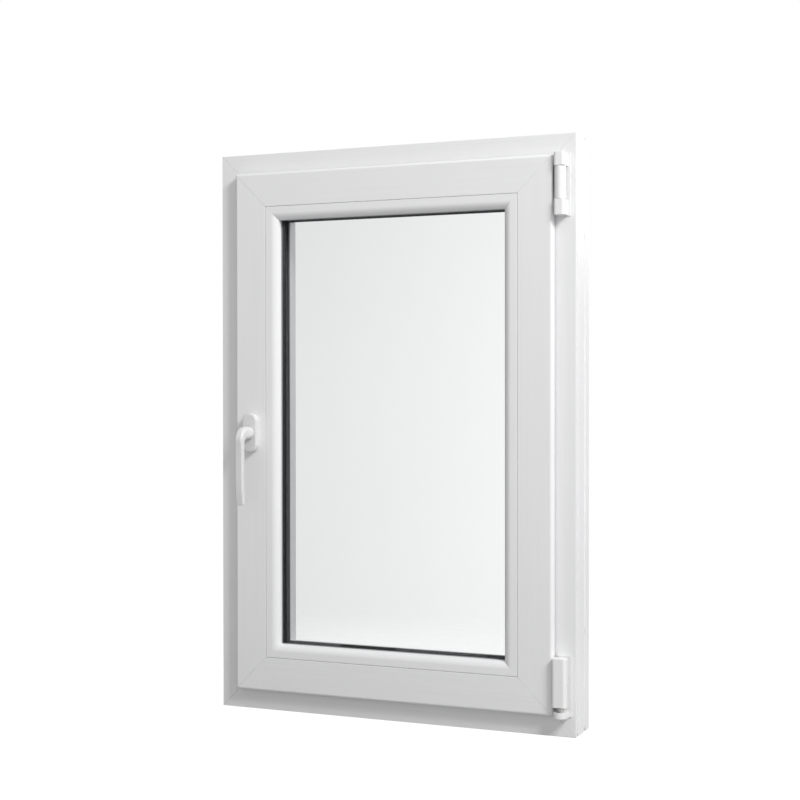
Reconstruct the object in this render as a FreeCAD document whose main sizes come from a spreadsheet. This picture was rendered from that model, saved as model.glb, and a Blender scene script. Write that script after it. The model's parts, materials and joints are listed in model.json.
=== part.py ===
import FreeCAD, Part
import os
import re
import Sketcher

# Tilt-and-turn casement window, 600 x 900 mm, seen from the room side.
# +X to the right (hinges), +Y out through the wall, +Z up.
# The origin is on the underside of the sill, mid-width and mid-depth.
# Rails are drawn with x = inset from the outer edge and y = depth behind the frame's room face.

V = FreeCAD.Vector
doc = FreeCAD.newDocument("casement_window")
sheet = doc.addObject("Spreadsheet::Sheet", "Dims")

SIZES = [
    # outer frame
    ("frame_width", 600), ("frame_height", 900), ("frame_depth", 70),
    ("rebate_line", 40), ("flange_end", 64), ("flange_front", 60), ("wall_thick", 3),
    ("slot_deep", 3.5), ("slot_front_near", 5), ("slot_front_far", 12),
    ("slot_back_near", 42), ("slot_back_far", 52), ("frame_core_near", 7),
    ("steel_near", 15), ("steel_far", 40), ("anchor_radius", 3.75), ("anchor_depth", 48),
    ("anchor_spacing", 600), ("drain_length", 30), ("drain_offset", 150),
    # sash
    ("sash_inset", 32), ("sash_edge", 52), ("sash_edge_rear", 54), ("sash_step", 24),
    ("sash_stand", 15), ("overlap_gap", 3), ("sash_rear", 57), ("edge_round", 4.5),
    ("bead_line", 87), ("rebate_base", 90), ("sight_line", 109), ("upstand_front", 28.5),
    ("rear_slope", 4), ("corner_soft", 1.5), ("groove_mid", 10), ("groove_half", 8),
    ("groove_deep", 3), ("channel_half", 6), ("channel_end", 61),
    ("sash_core_near", 64), ("sash_steel_near", 20), ("sash_steel_far", 44),
    # beads and glass
    ("bead_drop", 7.4), ("bead_nose", 1.5), ("bead_curve", 46), ("glass_front", 1.5),
    ("unit_thick", 24), ("pane_thick", 4), ("unit_inset", 95), ("spacer_near", 99),
    ("spacer_far", 106), ("gasket_near", 103.5), ("gasket_lip", 109.6),
    ("block_length", 80), ("block_offset", 130),
    # seals
    ("seal_near", 36.5), ("seal_far", 39.5), ("seal_stand", 1.2), ("frame_seal_near", 56.5),
    ("frame_seal_far", 60.5), ("frame_seal_stand", 2.3),
    # hinge axis and lower hinge
    ("axis_across", 279.5), ("axis_front", 48), ("ball_height", 45), ("ball_radius", 5),
    ("ball_play", 0.3), ("pivot_radius", 4), ("pivot_play", 0.05), ("plate_thick", 1.6),
    ("sleeve_radius", 10.8), ("sleeve_low", 47.7), ("sleeve_high", 119.7),
    ("barrel_radius", 7.5), ("foot_low", 31), ("foot_high", 39.7), ("foot_plate_high", 122),
    ("foot_plate_near", 272), ("foot_plate_far", 293.4), ("cover_soft", 4.5),
    ("leaf_low", 58), ("leaf_high", 112),
    # upper hinge and stay
    ("knuckle_radius", 6), ("cover_radius", 8.6), ("pin_radius", 3), ("pin_play", 0.06),
    ("upper_low", 778.5), ("arm_low", 800.5), ("arm_high", 849.7), ("upper_high", 868.6),
    ("stay_reach", 260.5), ("stay_level", 852), ("stay_thick", 3), ("stud_radius", 3),
    ("stud_drop", 8.5), ("strap_low", 812), ("strap_high", 857),
    ("strap_near", 37.6), ("strap_far", 35.4),
    # gear and handle
    ("handle_across", 237.5), ("handle_height", 449), ("gear_pitch", 7), ("gear_tip", 8),
    ("gear_root", 5.7), ("gear_teeth", 12), ("gear_wide", 8), ("hub_radius", 5.9),
    ("spindle_side", 7), ("drive_travel", 22), ("rosette_wide", 26.8), ("rosette_tall", 62.8),
    ("rosette_thick", 11), ("grip_stand", 41), ("grip_drop", 115), ("grip_half_wide", 6.6),
    ("grip_half_deep", 6), ("neck_radius", 8.4), ("elbow_radius", 10), ("screw_pitch", 43),
    # drive rods, faceplates and strikers
    ("face_near", 52.2), ("face_far", 54), ("rod_near", 55.3), ("rod_far", 58.3),
    ("rod_wide", 9), ("cam_radius", 4.5), ("cam_stem", 3), ("cam_tip", 44.4), ("cam_root", 50),
    ("case_near", 54.6), ("case_far", 79), ("case_half", 52), ("case_thick", 13.2),
    ("striker_thick", 2.5), ("striker_wall", 6.5), ("striker_half", 22), ("striker_screw", 15),
]
ALIASES = {name for name, _ in SIZES}

# where each run of profile lies: turn about Y, then the placement of its outer edge
SIDES = {
    "lock": (0, "-frame_width/2", "frame_height/2", "frame_height"),
    "hinge": (180, "frame_width/2", "frame_height/2", "frame_height"),
    "sill": (-90, "0", "0", "frame_width"),
    "head": (90, "0", "frame_height", "frame_width"),
}
NODES = []


# ---------------------------------------------------------------- small helpers

def fill_sheet():
    """Write every size and its name into the spreadsheet."""
    for row, (name, size) in enumerate(SIZES, start=1):
        sheet.set("A%d" % row, name)
        sheet.set("B%d" % row, str(size))
        sheet.setAlias("B%d" % row, name)
    doc.recompute()


def bound(text):
    """Point each size name in an expression at the spreadsheet."""
    def swap(match):
        word = match.group(0)
        return "Dims." + word if word in ALIASES else word
    return re.sub(r"[a-z][a-z_]*", swap, str(text))


def value(text):
    """Give the number an expression stands for."""
    return float(sheet.evalExpression(str(text)))


def bind(item, **sizes):
    """Tie properties of an object to expressions."""
    for prop, text in sizes.items():
        item.setExpression(prop, bound(text))


def place(item, across="0", depth="0", height="0", turn=0, axis=(0, 1, 0)):
    """Set an object's Placement, its position tied to the sheet."""
    item.Placement = FreeCAD.Placement(V(0, 0, 0), FreeCAD.Rotation(V(*axis), turn))
    for letter, text in zip("xyz", (across, depth, height)):
        item.setExpression("Placement.Base." + letter, bound(text))
    return item


def place_on_side(item, side):
    """Lay a run or a fitting drawn in the rail frame along one side of the window."""
    turn, across, height, _ = SIDES[side]
    return place(item, across, "-frame_depth/2", height, turn)


def node(item, label):
    """Name an object as one sub-part to export."""
    item.Label = label
    NODES.append(item)
    return item


def new_body(label):
    """Start a body and count it as a sub-part."""
    return node(doc.addObject("PartDesign::Body", "Body_" + label), label)


def new_sketch(body, plane, offset="0"):
    """Attach a sketch to one of the body's own origin planes."""
    sketch = body.newObject("Sketcher::SketchObject", "Sketch")
    origin_plane = [item for item in body.Origin.OriginFeatures if item.Role == plane][0]
    sketch.AttachmentSupport = [(origin_plane, "")]
    sketch.MapMode = "FlatFace"
    sketch.setExpression("AttachmentOffset.Base.z", bound(offset))
    return sketch


def curve_between(start, stop, radius, side):
    """Arc from start to stop, bulging to the left (+1) or right (-1) of travel."""
    chord = stop - start
    middle = (start + stop) * 0.5
    across = V(-chord.y, chord.x, 0)
    across.normalize()
    rise = radius - max(radius ** 2 - (chord.Length / 2) ** 2, 0) ** 0.5
    return Part.Arc(start, middle + across * rise * side, stop)


def outline(sketch, corners, arcs=None):
    """Draw one closed outline with every corner tied to the sheet.

    An arc is (radius, side), or (radius, side, height of its centre) for a half circle.
    """
    arcs = arcs or {}
    points = [V(value(x), value(y), 0) for x, y in corners]
    total = len(points)
    first = sketch.GeometryCount
    shapes = []
    for index, start in enumerate(points):
        stop = points[(index + 1) % total]
        if index in arcs:
            radius, side = arcs[index][:2]
            shapes.append(curve_between(start, stop, value(radius), side))
        else:
            shapes.append(Part.LineSegment(start, stop))
    sketch.addGeometry(shapes, False)
    heads = []
    for index, start in enumerate(points):
        begins = sketch.Geometry[first + index].StartPoint.distanceToPoint(start) < 1e-6
        heads.append(1 if begins else 2)
    joins = []
    for index in range(total):
        after = (index + 1) % total
        joins.append(Sketcher.Constraint("Coincident", first + index, 3 - heads[index],
                                         first + after, heads[after]))
    sketch.addConstraint(joins)
    for index, (x, y) in enumerate(corners):
        tie(sketch, "DistanceX", first + index, heads[index], x)
        tie(sketch, "DistanceY", first + index, heads[index], y)
    for index, (radius, _, *middle) in arcs.items():
        if middle:
            tie(sketch, "DistanceY", first + index, 3, middle[0])
            continue
        number = sketch.addConstraint(Sketcher.Constraint("Radius", first + index, value(radius)))
        sketch.setExpression("Constraints[%d]" % number, bound(radius))


def tie(sketch, kind, shape, end, text):
    """Tie one point of a sketch to a distance from the sketch origin."""
    number = sketch.addConstraint(Sketcher.Constraint(kind, -1, 1, shape, end, value(text)))
    sketch.setExpression("Constraints[%d]" % number, bound(text))


def circle(sketch, x, y, radius):
    """Draw one circle with its centre and radius tied to the sheet."""
    shape = Part.Circle(V(value(x), value(y), 0), V(0, 0, 1), value(radius))
    number = sketch.addGeometry(shape, False)
    tie(sketch, "DistanceX", number, 3, x)
    tie(sketch, "DistanceY", number, 3, y)
    size = sketch.addConstraint(Sketcher.Constraint("Radius", number, value(radius)))
    sketch.setExpression("Constraints[%d]" % size, bound(radius))


def rectangle(x_low, x_high, y_low, y_high):
    """Four corners of a rectangle."""
    return [(x_low, y_low), (x_high, y_low), (x_high, y_high), (x_low, y_high)]


def pad(body, sketch, length, middle=False, back=False):
    """Pad a sketch, from its plane or to both sides of it."""
    feature = body.newObject("PartDesign::Pad", "Pad")
    feature.Profile = sketch
    feature.SideType = "Symmetric" if middle else "One side"
    feature.Reversed = back
    bind(feature, Length=length)
    return feature


def pocket(body, sketch, length=None, middle=False, back=False):
    """Cut a sketch out of a body, right through when no length is given."""
    feature = body.newObject("PartDesign::Pocket", "Pocket")
    feature.Profile = sketch
    feature.SideType = "Symmetric" if middle else "One side"
    feature.Reversed = back
    if length is None:
        feature.Type = "ThroughAll"
    else:
        bind(feature, Length=length)
    return feature


def box(across, depth, height, long, deep, tall):
    """A block with its low corner at the given place."""
    item = doc.addObject("Part::Box", "Block")
    bind(item, Length=long, Width=deep, Height=tall)
    return place(item, across, depth, height)


def rod(across, depth, height, radius, tall, turn=0, axis=(0, 1, 0)):
    """A round bar standing on the given place."""
    item = doc.addObject("Part::Cylinder", "Round")
    bind(item, Radius=radius, Height=tall)
    return place(item, across, depth, height, turn, axis)


def ball(across, depth, height, radius):
    """A ball about the given place."""
    item = doc.addObject("Part::Sphere", "Ball")
    bind(item, Radius=radius)
    return place(item, across, depth, height)


def joined(*items):
    """Fuse solids into one."""
    item = doc.addObject("Part::MultiFuse", "Joined")
    item.Shapes = list(items)
    item.Refine = True
    return item


def grouped(items):
    """Keep separate solids together in one sub-part."""
    item = doc.addObject("Part::Compound", "Grouped")
    item.Links = list(items)
    return item


def cut(base, *tools):
    """Take the tools away from the base."""
    item = doc.addObject("Part::Cut", "Cut")
    item.Base = base
    item.Tool = tools[0] if len(tools) == 1 else joined(*tools)
    return item


# ---------------------------------------------------------------- runs of profile

def rail(label, side, loops, low, high):
    """One mitred length of profile along a side."""
    body = new_body(label)
    section = new_sketch(body, "XY_Plane")
    for corners, arcs in loops:
        outline(section, corners, arcs)
    full = SIDES[side][3]
    pad(body, section, "%s - 2*(%s)" % (full, low), middle=True)
    mitre = new_sketch(body, "XZ_Plane")
    for sign in ("1", "-1"):
        reach = "%s*(%s/2 - (%s))" % (sign, full, low)
        inner = "%s*(%s/2 - (%s) - 2)" % (sign, full, high)
        beyond = "%s*(%s/2 + 5)" % (sign, full)
        outline(mitre, [(low + " - 5", beyond), (low, reach), (high + " + 2", inner),
                        (high + " + 2", beyond)])
    pocket(body, mitre, middle=True)
    return place_on_side(body, side)


def frame_section():
    """Outline and hollow chambers of the outer frame."""
    outer = [
        ("0", "0"), ("rebate_line", "0"), ("rebate_line", "flange_front"),
        ("frame_seal_near + 1", "flange_front"), ("frame_seal_near + 1", "flange_front + 2"),
        ("frame_seal_far - 1", "flange_front + 2"), ("frame_seal_far - 1", "flange_front"),
        ("flange_end", "flange_front"), ("flange_end", "frame_depth - 2"),
        ("flange_end - 2", "frame_depth"), ("0", "frame_depth"),
        ("0", "slot_back_far"), ("slot_deep", "slot_back_far"),
        ("slot_deep", "slot_back_near"), ("0", "slot_back_near"),
        ("0", "slot_front_far"), ("slot_deep", "slot_front_far"),
        ("slot_deep", "slot_front_near"), ("0", "slot_front_near"),
    ]
    inside = "rebate_line - wall_thick"
    chambers = [
        rectangle("frame_core_near", inside, "wall_thick", "steel_near - wall_thick"),
        rectangle("frame_core_near", inside, "steel_near", "steel_far"),
        rectangle("frame_core_near", inside, "steel_far + wall_thick", "flange_front - wall_thick"),
        rectangle("wall_thick", "flange_end - 7", "flange_front + wall_thick + 1",
                  "frame_depth - wall_thick"),
    ]
    return [(outer, None)] + [(corners, None) for corners in chambers]


def frame_rail(label, side):
    """Head, sill or jamb of the outer frame."""
    body = rail(label, side, frame_section(), "0", "flange_end")
    if side in ("lock", "hinge"):
        holes = new_sketch(body, "YZ_Plane")
        for sign in ("1", "-1"):
            circle(holes, "anchor_depth", "%s*anchor_spacing/2" % sign, "anchor_radius")
        pocket(body, holes, middle=True)
    if side == "sill":
        slots = new_sketch(body, "XZ_Plane", "-frame_depth - 1")
        for sign in ("1", "-1"):
            middle = "%s*drain_offset" % sign
            outline(slots, rectangle("rebate_line + 4", "rebate_line + 9",
                                     middle + " - drain_length/2", middle + " + drain_length/2"))
        pocket(body, slots, "wall_thick + 2", back=True)
    return body


def sash_section():
    """Outline and hollow chambers of the sash."""
    face = "-sash_stand"
    outer = [
        ("sash_inset", "-overlap_gap"), ("sash_inset", "-sash_stand + edge_round"),
        ("sash_inset + edge_round", face), ("bead_line", face),
        ("bead_line", "-sash_stand + 6.8"), ("rebate_base", "-sash_stand + 6.8"),
        ("rebate_base", "upstand_front"), ("sight_line - corner_soft", "upstand_front"),
        ("sight_line", "upstand_front + corner_soft"), ("sight_line - rear_slope", "sash_rear"),
        ("sash_edge_rear", "sash_rear"), ("sash_edge_rear", "sash_step"),
        ("sash_edge", "sash_step"), ("sash_edge", "groove_mid + groove_half"),
        ("sash_edge + groove_deep", "groove_mid + groove_half"),
        ("sash_edge + groove_deep", "groove_mid + channel_half"),
        ("channel_end", "groove_mid + channel_half"), ("channel_end", "groove_mid - channel_half"),
        ("sash_edge + groove_deep", "groove_mid - channel_half"),
        ("sash_edge + groove_deep", "groove_mid - groove_half"),
        ("sash_edge", "groove_mid - groove_half"), ("sash_edge", "-overlap_gap"),
        ("seal_far - 0.5", "-overlap_gap"), ("seal_far - 0.5", "-overlap_gap - 2"),
        ("seal_near + 0.5", "-overlap_gap - 2"), ("seal_near + 0.5", "-overlap_gap"),
    ]
    arcs = {1: ("edge_round", -1), 7: ("corner_soft", -1)}
    inside = "bead_line - wall_thick + 2"
    chambers = [
        rectangle("sash_inset + 4", "bead_line - wall_thick", "-sash_stand + wall_thick",
                  "-overlap_gap - wall_thick - 1"),
        rectangle("sash_core_near", inside, "-overlap_gap - wall_thick + 2",
                  "sash_steel_near - wall_thick"),
        rectangle("sash_edge_rear + wall_thick", inside, "sash_steel_near", "sash_steel_far"),
        rectangle("sash_edge_rear + wall_thick", "sight_line - 7", "sash_steel_far + wall_thick",
                  "sash_rear - wall_thick"),
        rectangle("rebate_base + wall_thick", "sight_line - 5", "upstand_front + wall_thick",
                  "sash_steel_far"),
    ]
    return [(outer, arcs)] + [(corners, None) for corners in chambers]


def sash_rail(label, side):
    """Rail or stile of the sash, the lock stile cut out for its gearbox."""
    body = rail(label, side, sash_section(), "sash_inset", "sight_line")
    if side == "lock":
        level = "handle_height - frame_height/2"
        room = new_sketch(body, "XZ_Plane", "-(groove_mid + case_thick/2 + 0.4)")
        outline(room, rectangle("sash_edge", "case_far + 1", level + " - case_half - 2",
                                level + " + case_half + 2"))
        pocket(body, room, "case_thick + 0.8", back=True)
        holes = new_sketch(body, "XZ_Plane", "sash_stand + 1")
        middle = "frame_width/2 - handle_across"
        circle(holes, middle, level, "hub_radius + 0.6")
        for sign in ("1", "-1"):
            circle(holes, middle, level + " + %s*screw_pitch/2" % sign, "2.7")
        pocket(body, holes, "sash_stand + 5")
    return body


def bead(label, side):
    """Glazing bead with a rounded face and a foot in the sash."""
    face = "-sash_stand"
    foot = "-sash_stand + 6.8"
    inner = "rebate_base + 3"
    corners = [
        ("bead_line", foot), ("bead_line", face), ("sight_line", "-sash_stand + bead_drop"),
        ("sight_line", "-bead_nose"), ("sight_line - 3.5", "-bead_nose"),
        ("sight_line - 3.5", "-sash_stand + bead_drop + 1.6"), (inner, foot + " - 1"),
        (inner, "0.6"), ("rebate_base", "0.6"), ("rebate_base", foot),
    ]
    return rail(label, side, [(corners, {1: ("bead_curve", -1)})], "bead_line", "sight_line")


def steel(label, side, near, far, low, high):
    """Galvanised channel inside a hollow run, cut square short of the corners."""
    body = new_body(label)
    section = new_sketch(body, "XY_Plane")
    gauge = 1.5
    outline(section, [
        (near, low), (far, low), (far, high), (near, high), (near, "%s - %s" % (high, gauge)),
        ("%s - %s" % (far, gauge), "%s - %s" % (high, gauge)),
        ("%s - %s" % (far, gauge), "%s + %s" % (low, gauge)), (near, "%s + %s" % (low, gauge))])
    pad(body, section, "%s - 2*(%s + 4)" % (SIDES[side][3], far), middle=True)
    return place_on_side(body, side)


def ring(label, bands):
    """Closed rectangular loop made of bands: inset near, inset far, depth near, depth far."""
    body = new_body(label)
    for near, far, front, back in bands:
        sketch = new_sketch(body, "XZ_Plane", "-(%s)" % back)
        for inset in (near, far):
            half = "(frame_width/2 - (%s))" % inset
            outline(sketch, rectangle("-" + half, half, inset, "frame_height - (%s)" % inset))
        pad(body, sketch, "(%s) - (%s)" % (back, front))
    return place(body, "0", "-frame_depth/2", "0")


def sash_seal():
    """Overlap seal on the sash, left open where the two hinges pass."""
    body = ring("sash_seal", [
        ("seal_near", "seal_far", "-overlap_gap", "-overlap_gap + seal_stand"),
        ("seal_near + 0.6", "seal_far - 0.6", "-overlap_gap - 1.8", "-overlap_gap")])
    gaps = new_sketch(body, "XZ_Plane", "overlap_gap + 4")
    near = "frame_width/2 - seal_far - 2"
    far = "frame_width/2 - seal_near + 2"
    outline(gaps, rectangle(near, far, "leaf_low - 2", "leaf_high + 2"))
    outline(gaps, rectangle(near, far, "strap_low - 2", "strap_high + 2"))
    pocket(body, gaps, "12")


# ---------------------------------------------------------------- glass

def glass():
    """Sealed double-glazed unit with its spacer, sealant and setting blocks."""
    depths = {"pane_inner": "glass_front", "pane_outer": "glass_front + unit_thick - pane_thick"}
    for label, depth in depths.items():
        node(box("-frame_width/2 + unit_inset", depth + " - frame_depth/2", "unit_inset",
                 "frame_width - 2*unit_inset", "pane_thick", "frame_height - 2*unit_inset"), label)
    front = "glass_front + pane_thick"
    back = "glass_front + unit_thick - pane_thick"
    spacer = ring("spacer_frame", [("spacer_near", "spacer_far", front, back)])
    hollow = new_sketch(spacer, "XZ_Plane", "-(%s + 1)" % front)
    for inset in ("spacer_near + 1", "spacer_far - 1"):
        half = "(frame_width/2 - (%s))" % inset
        outline(hollow, rectangle("-" + half, half, inset, "frame_height - (%s)" % inset))
    pocket(spacer, hollow, "unit_thick - 2*pane_thick - 2")
    ring("edge_sealant", [("unit_inset", "spacer_near", front, back)])
    ring("gasket_inner", [("gasket_near", "sight_line - 0.4", "-bead_nose", "glass_front"),
                          ("sight_line - 0.4", "gasket_lip", "0", "glass_front")])
    ring("gasket_outer", [("gasket_near", "gasket_lip", "glass_front + unit_thick",
                           "upstand_front")])


def setting_blocks():
    """Eight plastic blocks that centre the glass in the sash."""
    thick = "unit_inset - rebate_base"
    depth = "glass_front - frame_depth/2"
    blocks = []
    for sign in ("1", "-1"):
        for level in ("rebate_base", "frame_height - unit_inset"):
            blocks.append(box("%s*block_offset - block_length/2" % sign, depth, level,
                              "block_length", "unit_thick", thick))
        for across in ("-frame_width/2 + rebate_base", "frame_width/2 - unit_inset"):
            blocks.append(box(across, depth,
                              "frame_height/2 + %s*2*block_offset - block_length/2" % sign,
                              thick, "unit_thick", "block_length"))
    node(grouped(blocks), "setting_blocks")


# ---------------------------------------------------------------- strikers

def striker(label, side, along):
    """Cast striker plate in the rebate: base, back wall and one end stop."""
    wide = "2*striker_half"
    low = "%s - striker_half" % along
    base = box("rebate_line", "1", low, "striker_thick", "21", wide)
    wall = box("rebate_line", "18", low, "striker_wall", "4", wide)
    holes = [rod("rebate_line - 1", "7", "%s + %s*striker_screw" % (along, sign), "2.1", "6",
                 90) for sign in ("1", "-1")]
    item = node(cut(joined(base, wall), *holes), label)
    return place_on_side(item, side)


def striker_screws(spots):
    """Two screws in each striker plate."""
    screws = []
    for side, along in spots:
        for sign in ("1", "-1"):
            level = "%s + %s*striker_screw" % (along, sign)
            shank = rod("rebate_line - 12", "7", level, "2", "12 + striker_thick", 90)
            head = rod("rebate_line + striker_thick", "7", level, "3.6", "0.9", 90)
            screws.append(place_on_side(joined(shank, head), side))
    node(grouped(screws), "striker_screws")


# ---------------------------------------------------------------- hinges

def screw_set(label, spots):
    """Flat-headed screws driven towards +Y through a hinge plate into the frame."""
    screws = []
    for across, height in spots:
        depth = "-frame_depth/2 - 1.5"
        shank = rod(across, depth, height, "2", "14", -90, (1, 0, 0))
        head = rod(across, depth, height, "3.6", "0.9", -90, (1, 0, 0))
        screws.append(joined(shank, head))
    node(grouped(screws), label)


def screw_holes(spots):
    """Stepped holes in a hinge plate for the same screws."""
    holes = []
    for across, height in spots:
        depth = "-frame_depth/2 - 3"
        holes.append(rod(across, depth, height, "2.1", "6", -90, (1, 0, 0)))
        holes.append(rod(across, depth, height, "4", "2.4", -90, (1, 0, 0)))
    return holes


def hinge_lower():
    """Lower corner hinge: foot and screws on the frame, pivot, band and sleeve."""
    front = "-axis_front"
    face = "-frame_depth/2"
    plate = box("foot_plate_near", face + " - plate_thick", "foot_low",
                "foot_plate_far - foot_plate_near", "plate_thick", "foot_plate_high - foot_low")
    cup = rod("axis_across", front, "foot_low", "sleeve_radius", "foot_high - foot_low")
    web = box("axis_across - sleeve_radius", front, "foot_low", "2*sleeve_radius",
              "axis_front - frame_depth/2", "foot_high - foot_low")
    bore = rod("axis_across", front, "foot_low + 2", "pivot_radius + pivot_play", "20")
    spots = [("foot_plate_far - 5", "55"), ("foot_plate_far - 5", "85"),
             ("foot_plate_far - 5", "115")]
    node(cut(joined(plate, cup, web), bore, *screw_holes(spots)), "hinge_lower_foot")
    screw_set("hinge_lower_screws", spots)

    pin = rod("axis_across", front, "foot_low + 2.2", "pivot_radius",
              "ball_height - foot_low - 2.2")
    node(joined(pin, ball("axis_across", front, "ball_height", "ball_radius")), "hinge_pivot_pin")

    socket = ball("axis_across", front, "ball_height", "ball_radius + ball_play")
    barrel = rod("axis_across", front, "sleeve_low + 0.2", "barrel_radius",
                 "sleeve_high - sleeve_low - 2.2")
    leaf = plan_strip("leaf_low", "leaf_high", [
        ("frame_width/2 - sash_edge", "-strap_near"), ("268.4", "-strap_near"),
        ("268.4", "-41"), ("273.5", "-44.5"), ("280", "-42.5"),
        ("280", "-37.6"), ("271.2", "-37.6"), ("271.2", "-strap_far"),
        ("frame_width/2 - sash_edge + 2", "-strap_far"),
        ("frame_width/2 - sash_edge + 2", "-14"), ("frame_width/2 - sash_edge", "-14")])
    node(cut(joined(barrel, leaf), socket), "hinge_lower_band")

    tube = cover_block("sleeve_low", "sleeve_high", "sleeve_radius")
    inside = rod("axis_across", front, "sleeve_low + 0.2", "barrel_radius",
                 "sleeve_high - sleeve_low - 2.2")
    slot = box("axis_across - 15", front, "leaf_low - 0.5", "20", "20",
               "leaf_high - leaf_low + 1")
    mouth = ball("axis_across", front, "ball_height", "ball_radius + ball_play + 1")
    node(cut(tube, inside, slot, mouth), "hinge_lower_sleeve")


def plan_strip(low, high, corners, arcs=None):
    """Bent strip or block: a plan outline raised between two levels."""
    body = doc.addObject("PartDesign::Body", "Strip")
    sketch = new_sketch(body, "XY_Plane", low)
    outline(sketch, corners, arcs)
    pad(body, sketch, "(%s) - (%s)" % (high, low))
    return body


def cover_block(low, high, half, back=None):
    """Hinge cover about the hinge axis: squared front, and a round back or one cut off flat."""
    flat = "(%s) - cover_soft" % half
    corners = [("-(%s)" % half, back or "0"), ("-(%s)" % half, "-(%s)" % flat),
               ("-(%s)" % flat, "-(%s)" % half), (flat, "-(%s)" % half),
               (half, "-(%s)" % flat), (half, back or "0")]
    arcs = {1: ("cover_soft", -1), 3: ("cover_soft", -1)}
    if back is None:
        arcs[5] = (half, -1, "0")
    return place(plan_strip(low, high, corners, arcs), "axis_across", "-axis_front", "0")


def hinge_upper():
    """Upper stay hinge: bracket with two knuckles, covers, pin and screws."""
    front = "-axis_front"
    face = "-frame_depth/2"
    spans = {"low": ("upper_low", "arm_low - 0.3"), "top": ("arm_high + 0.3", "upper_high")}
    solids = [box("foot_plate_near", face + " - plate_thick", "upper_low - 2", "19.3",
                  "plate_thick", "upper_high - upper_low + 4")]
    for low, high in spans.values():
        tall = "(%s) - (%s)" % (high, low)
        solids.append(rod("axis_across", front, low, "knuckle_radius", tall))
        solids.append(box("axis_across - 4", front, low, "8", "axis_front - frame_depth/2", tall))
    bore = rod("axis_across", front, "upper_low + 1.5", "pin_radius", "200")
    spots = [("foot_plate_near + 16", "upper_low + 34"), ("foot_plate_near + 16", "upper_low + 58")]
    node(cut(joined(*solids), bore, *screw_holes(spots)), "hinge_upper_bracket")
    screw_set("hinge_upper_screws", spots)
    node(rod("axis_across", front, "upper_low + 1.5", "pin_radius",
             "upper_high - upper_low - 1.5"), "hinge_upper_pin")
    for name, (low, high) in spans.items():
        cap_low = low + (" - 1.2" if name == "low" else "")
        cap_high = high + (" + 1.2" if name == "top" else "")
        tall = "(%s) - (%s)" % (high, low)
        shell = cover_block(cap_low, cap_high, "cover_radius",
                            "axis_front - frame_depth/2 - plate_thick")
        core = rod("axis_across", front, low, "knuckle_radius", tall)
        slot = box("axis_across - 4", front, low, "8", "20", tall)
        node(cut(shell, core, slot), "hinge_upper_cover_" + name)


def stay():
    """Tilt stay: arm with its knuckle, the white sleeve and the guide stud."""
    front = "-axis_front"
    tall = "arm_high - arm_low"
    knuckle = rod("axis_across", front, "arm_low", "knuckle_radius", tall)
    strap = plan_strip("strap_low", "strap_high", [
        ("256.5", "-strap_near"), ("268.8", "-strap_near"), ("268.8", "-40.2"),
        ("274.5", "-44"), ("280.5", "-43"), ("280.5", "-37.4"), ("271.3", "-37.4"),
        ("271.3", "-strap_far"), ("256.5", "-strap_far")])
    trimmed = cut(strap, box("268.8", "-60", "arm_high", "20", "40", "20"))
    tip = "axis_across - stay_reach - 6"
    arm = plan_strip("stay_level", "stay_level + stay_thick", [
        ("259.2", "-strap_near"), ("259.2", "-19"), (tip, "-19"), (tip, "-31"),
        ("246", "-31"), ("250.5", "-strap_near")])
    bore = rod("axis_across", front, "arm_low - 1", "pin_radius + pin_play", "60")
    stud_x = "axis_across - stay_reach"
    eye = rod(stud_x, "-25", "stay_level - 1", "stud_radius", "stay_thick + 2")
    node(cut(joined(knuckle, trimmed, arm), bore, eye), "stay_arm")
    shell = rod("axis_across", front, "arm_low", "cover_radius", tall)
    core = rod("axis_across", front, "arm_low - 1", "knuckle_radius", "60")
    slot = box("axis_across - 12", front, "strap_low - 0.5", "16", "20", "60")
    node(cut(shell, core, slot), "stay_sleeve")
    stem = rod(stud_x, "-25", "stay_level - stud_drop", "stud_radius", "stud_drop + stay_thick")
    cap = rod(stud_x, "-25", "stay_level + stay_thick", "4.5", "1.2")
    node(joined(stem, cap), "stay_stud")


# ---------------------------------------------------------------- locking gear

def faceplate(label, side, low, high, slots):
    """Steel faceplate in the hardware groove with a slot for each cam."""
    body = new_body(label)
    sketch = new_sketch(body, "YZ_Plane", "face_near")
    outline(sketch, rectangle("groove_mid - groove_half + 0.2", "groove_mid + groove_half - 0.2",
                              low, high))
    for start, stop, half in slots:
        outline(sketch, rectangle("groove_mid - %s" % half, "groove_mid + %s" % half, start, stop))
    pad(body, sketch, "face_far - face_near")
    return place_on_side(body, side)


def cam(body, along):
    """Mushroom cam standing on a drive rod."""
    stem = new_sketch(body, "YZ_Plane", "rod_near")
    circle(stem, "groove_mid", along, "cam_stem")
    pad(body, stem, "rod_near - cam_root", back=True)
    head = new_sketch(body, "YZ_Plane", "cam_root")
    circle(head, "groove_mid", along, "cam_radius")
    pad(body, head, "cam_root - cam_tip", back=True)


def drive_rod(label, side, low, high, along):
    """Plain drive rod with one cam, along the head or the sill of the sash."""
    body = new_body(label)
    bar = new_sketch(body, "XZ_Plane", "-groove_mid")
    outline(bar, rectangle("rod_near", "rod_far", low, high))
    pad(body, bar, "rod_wide", middle=True)
    cam(body, along)
    return place_on_side(body, side)


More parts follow.
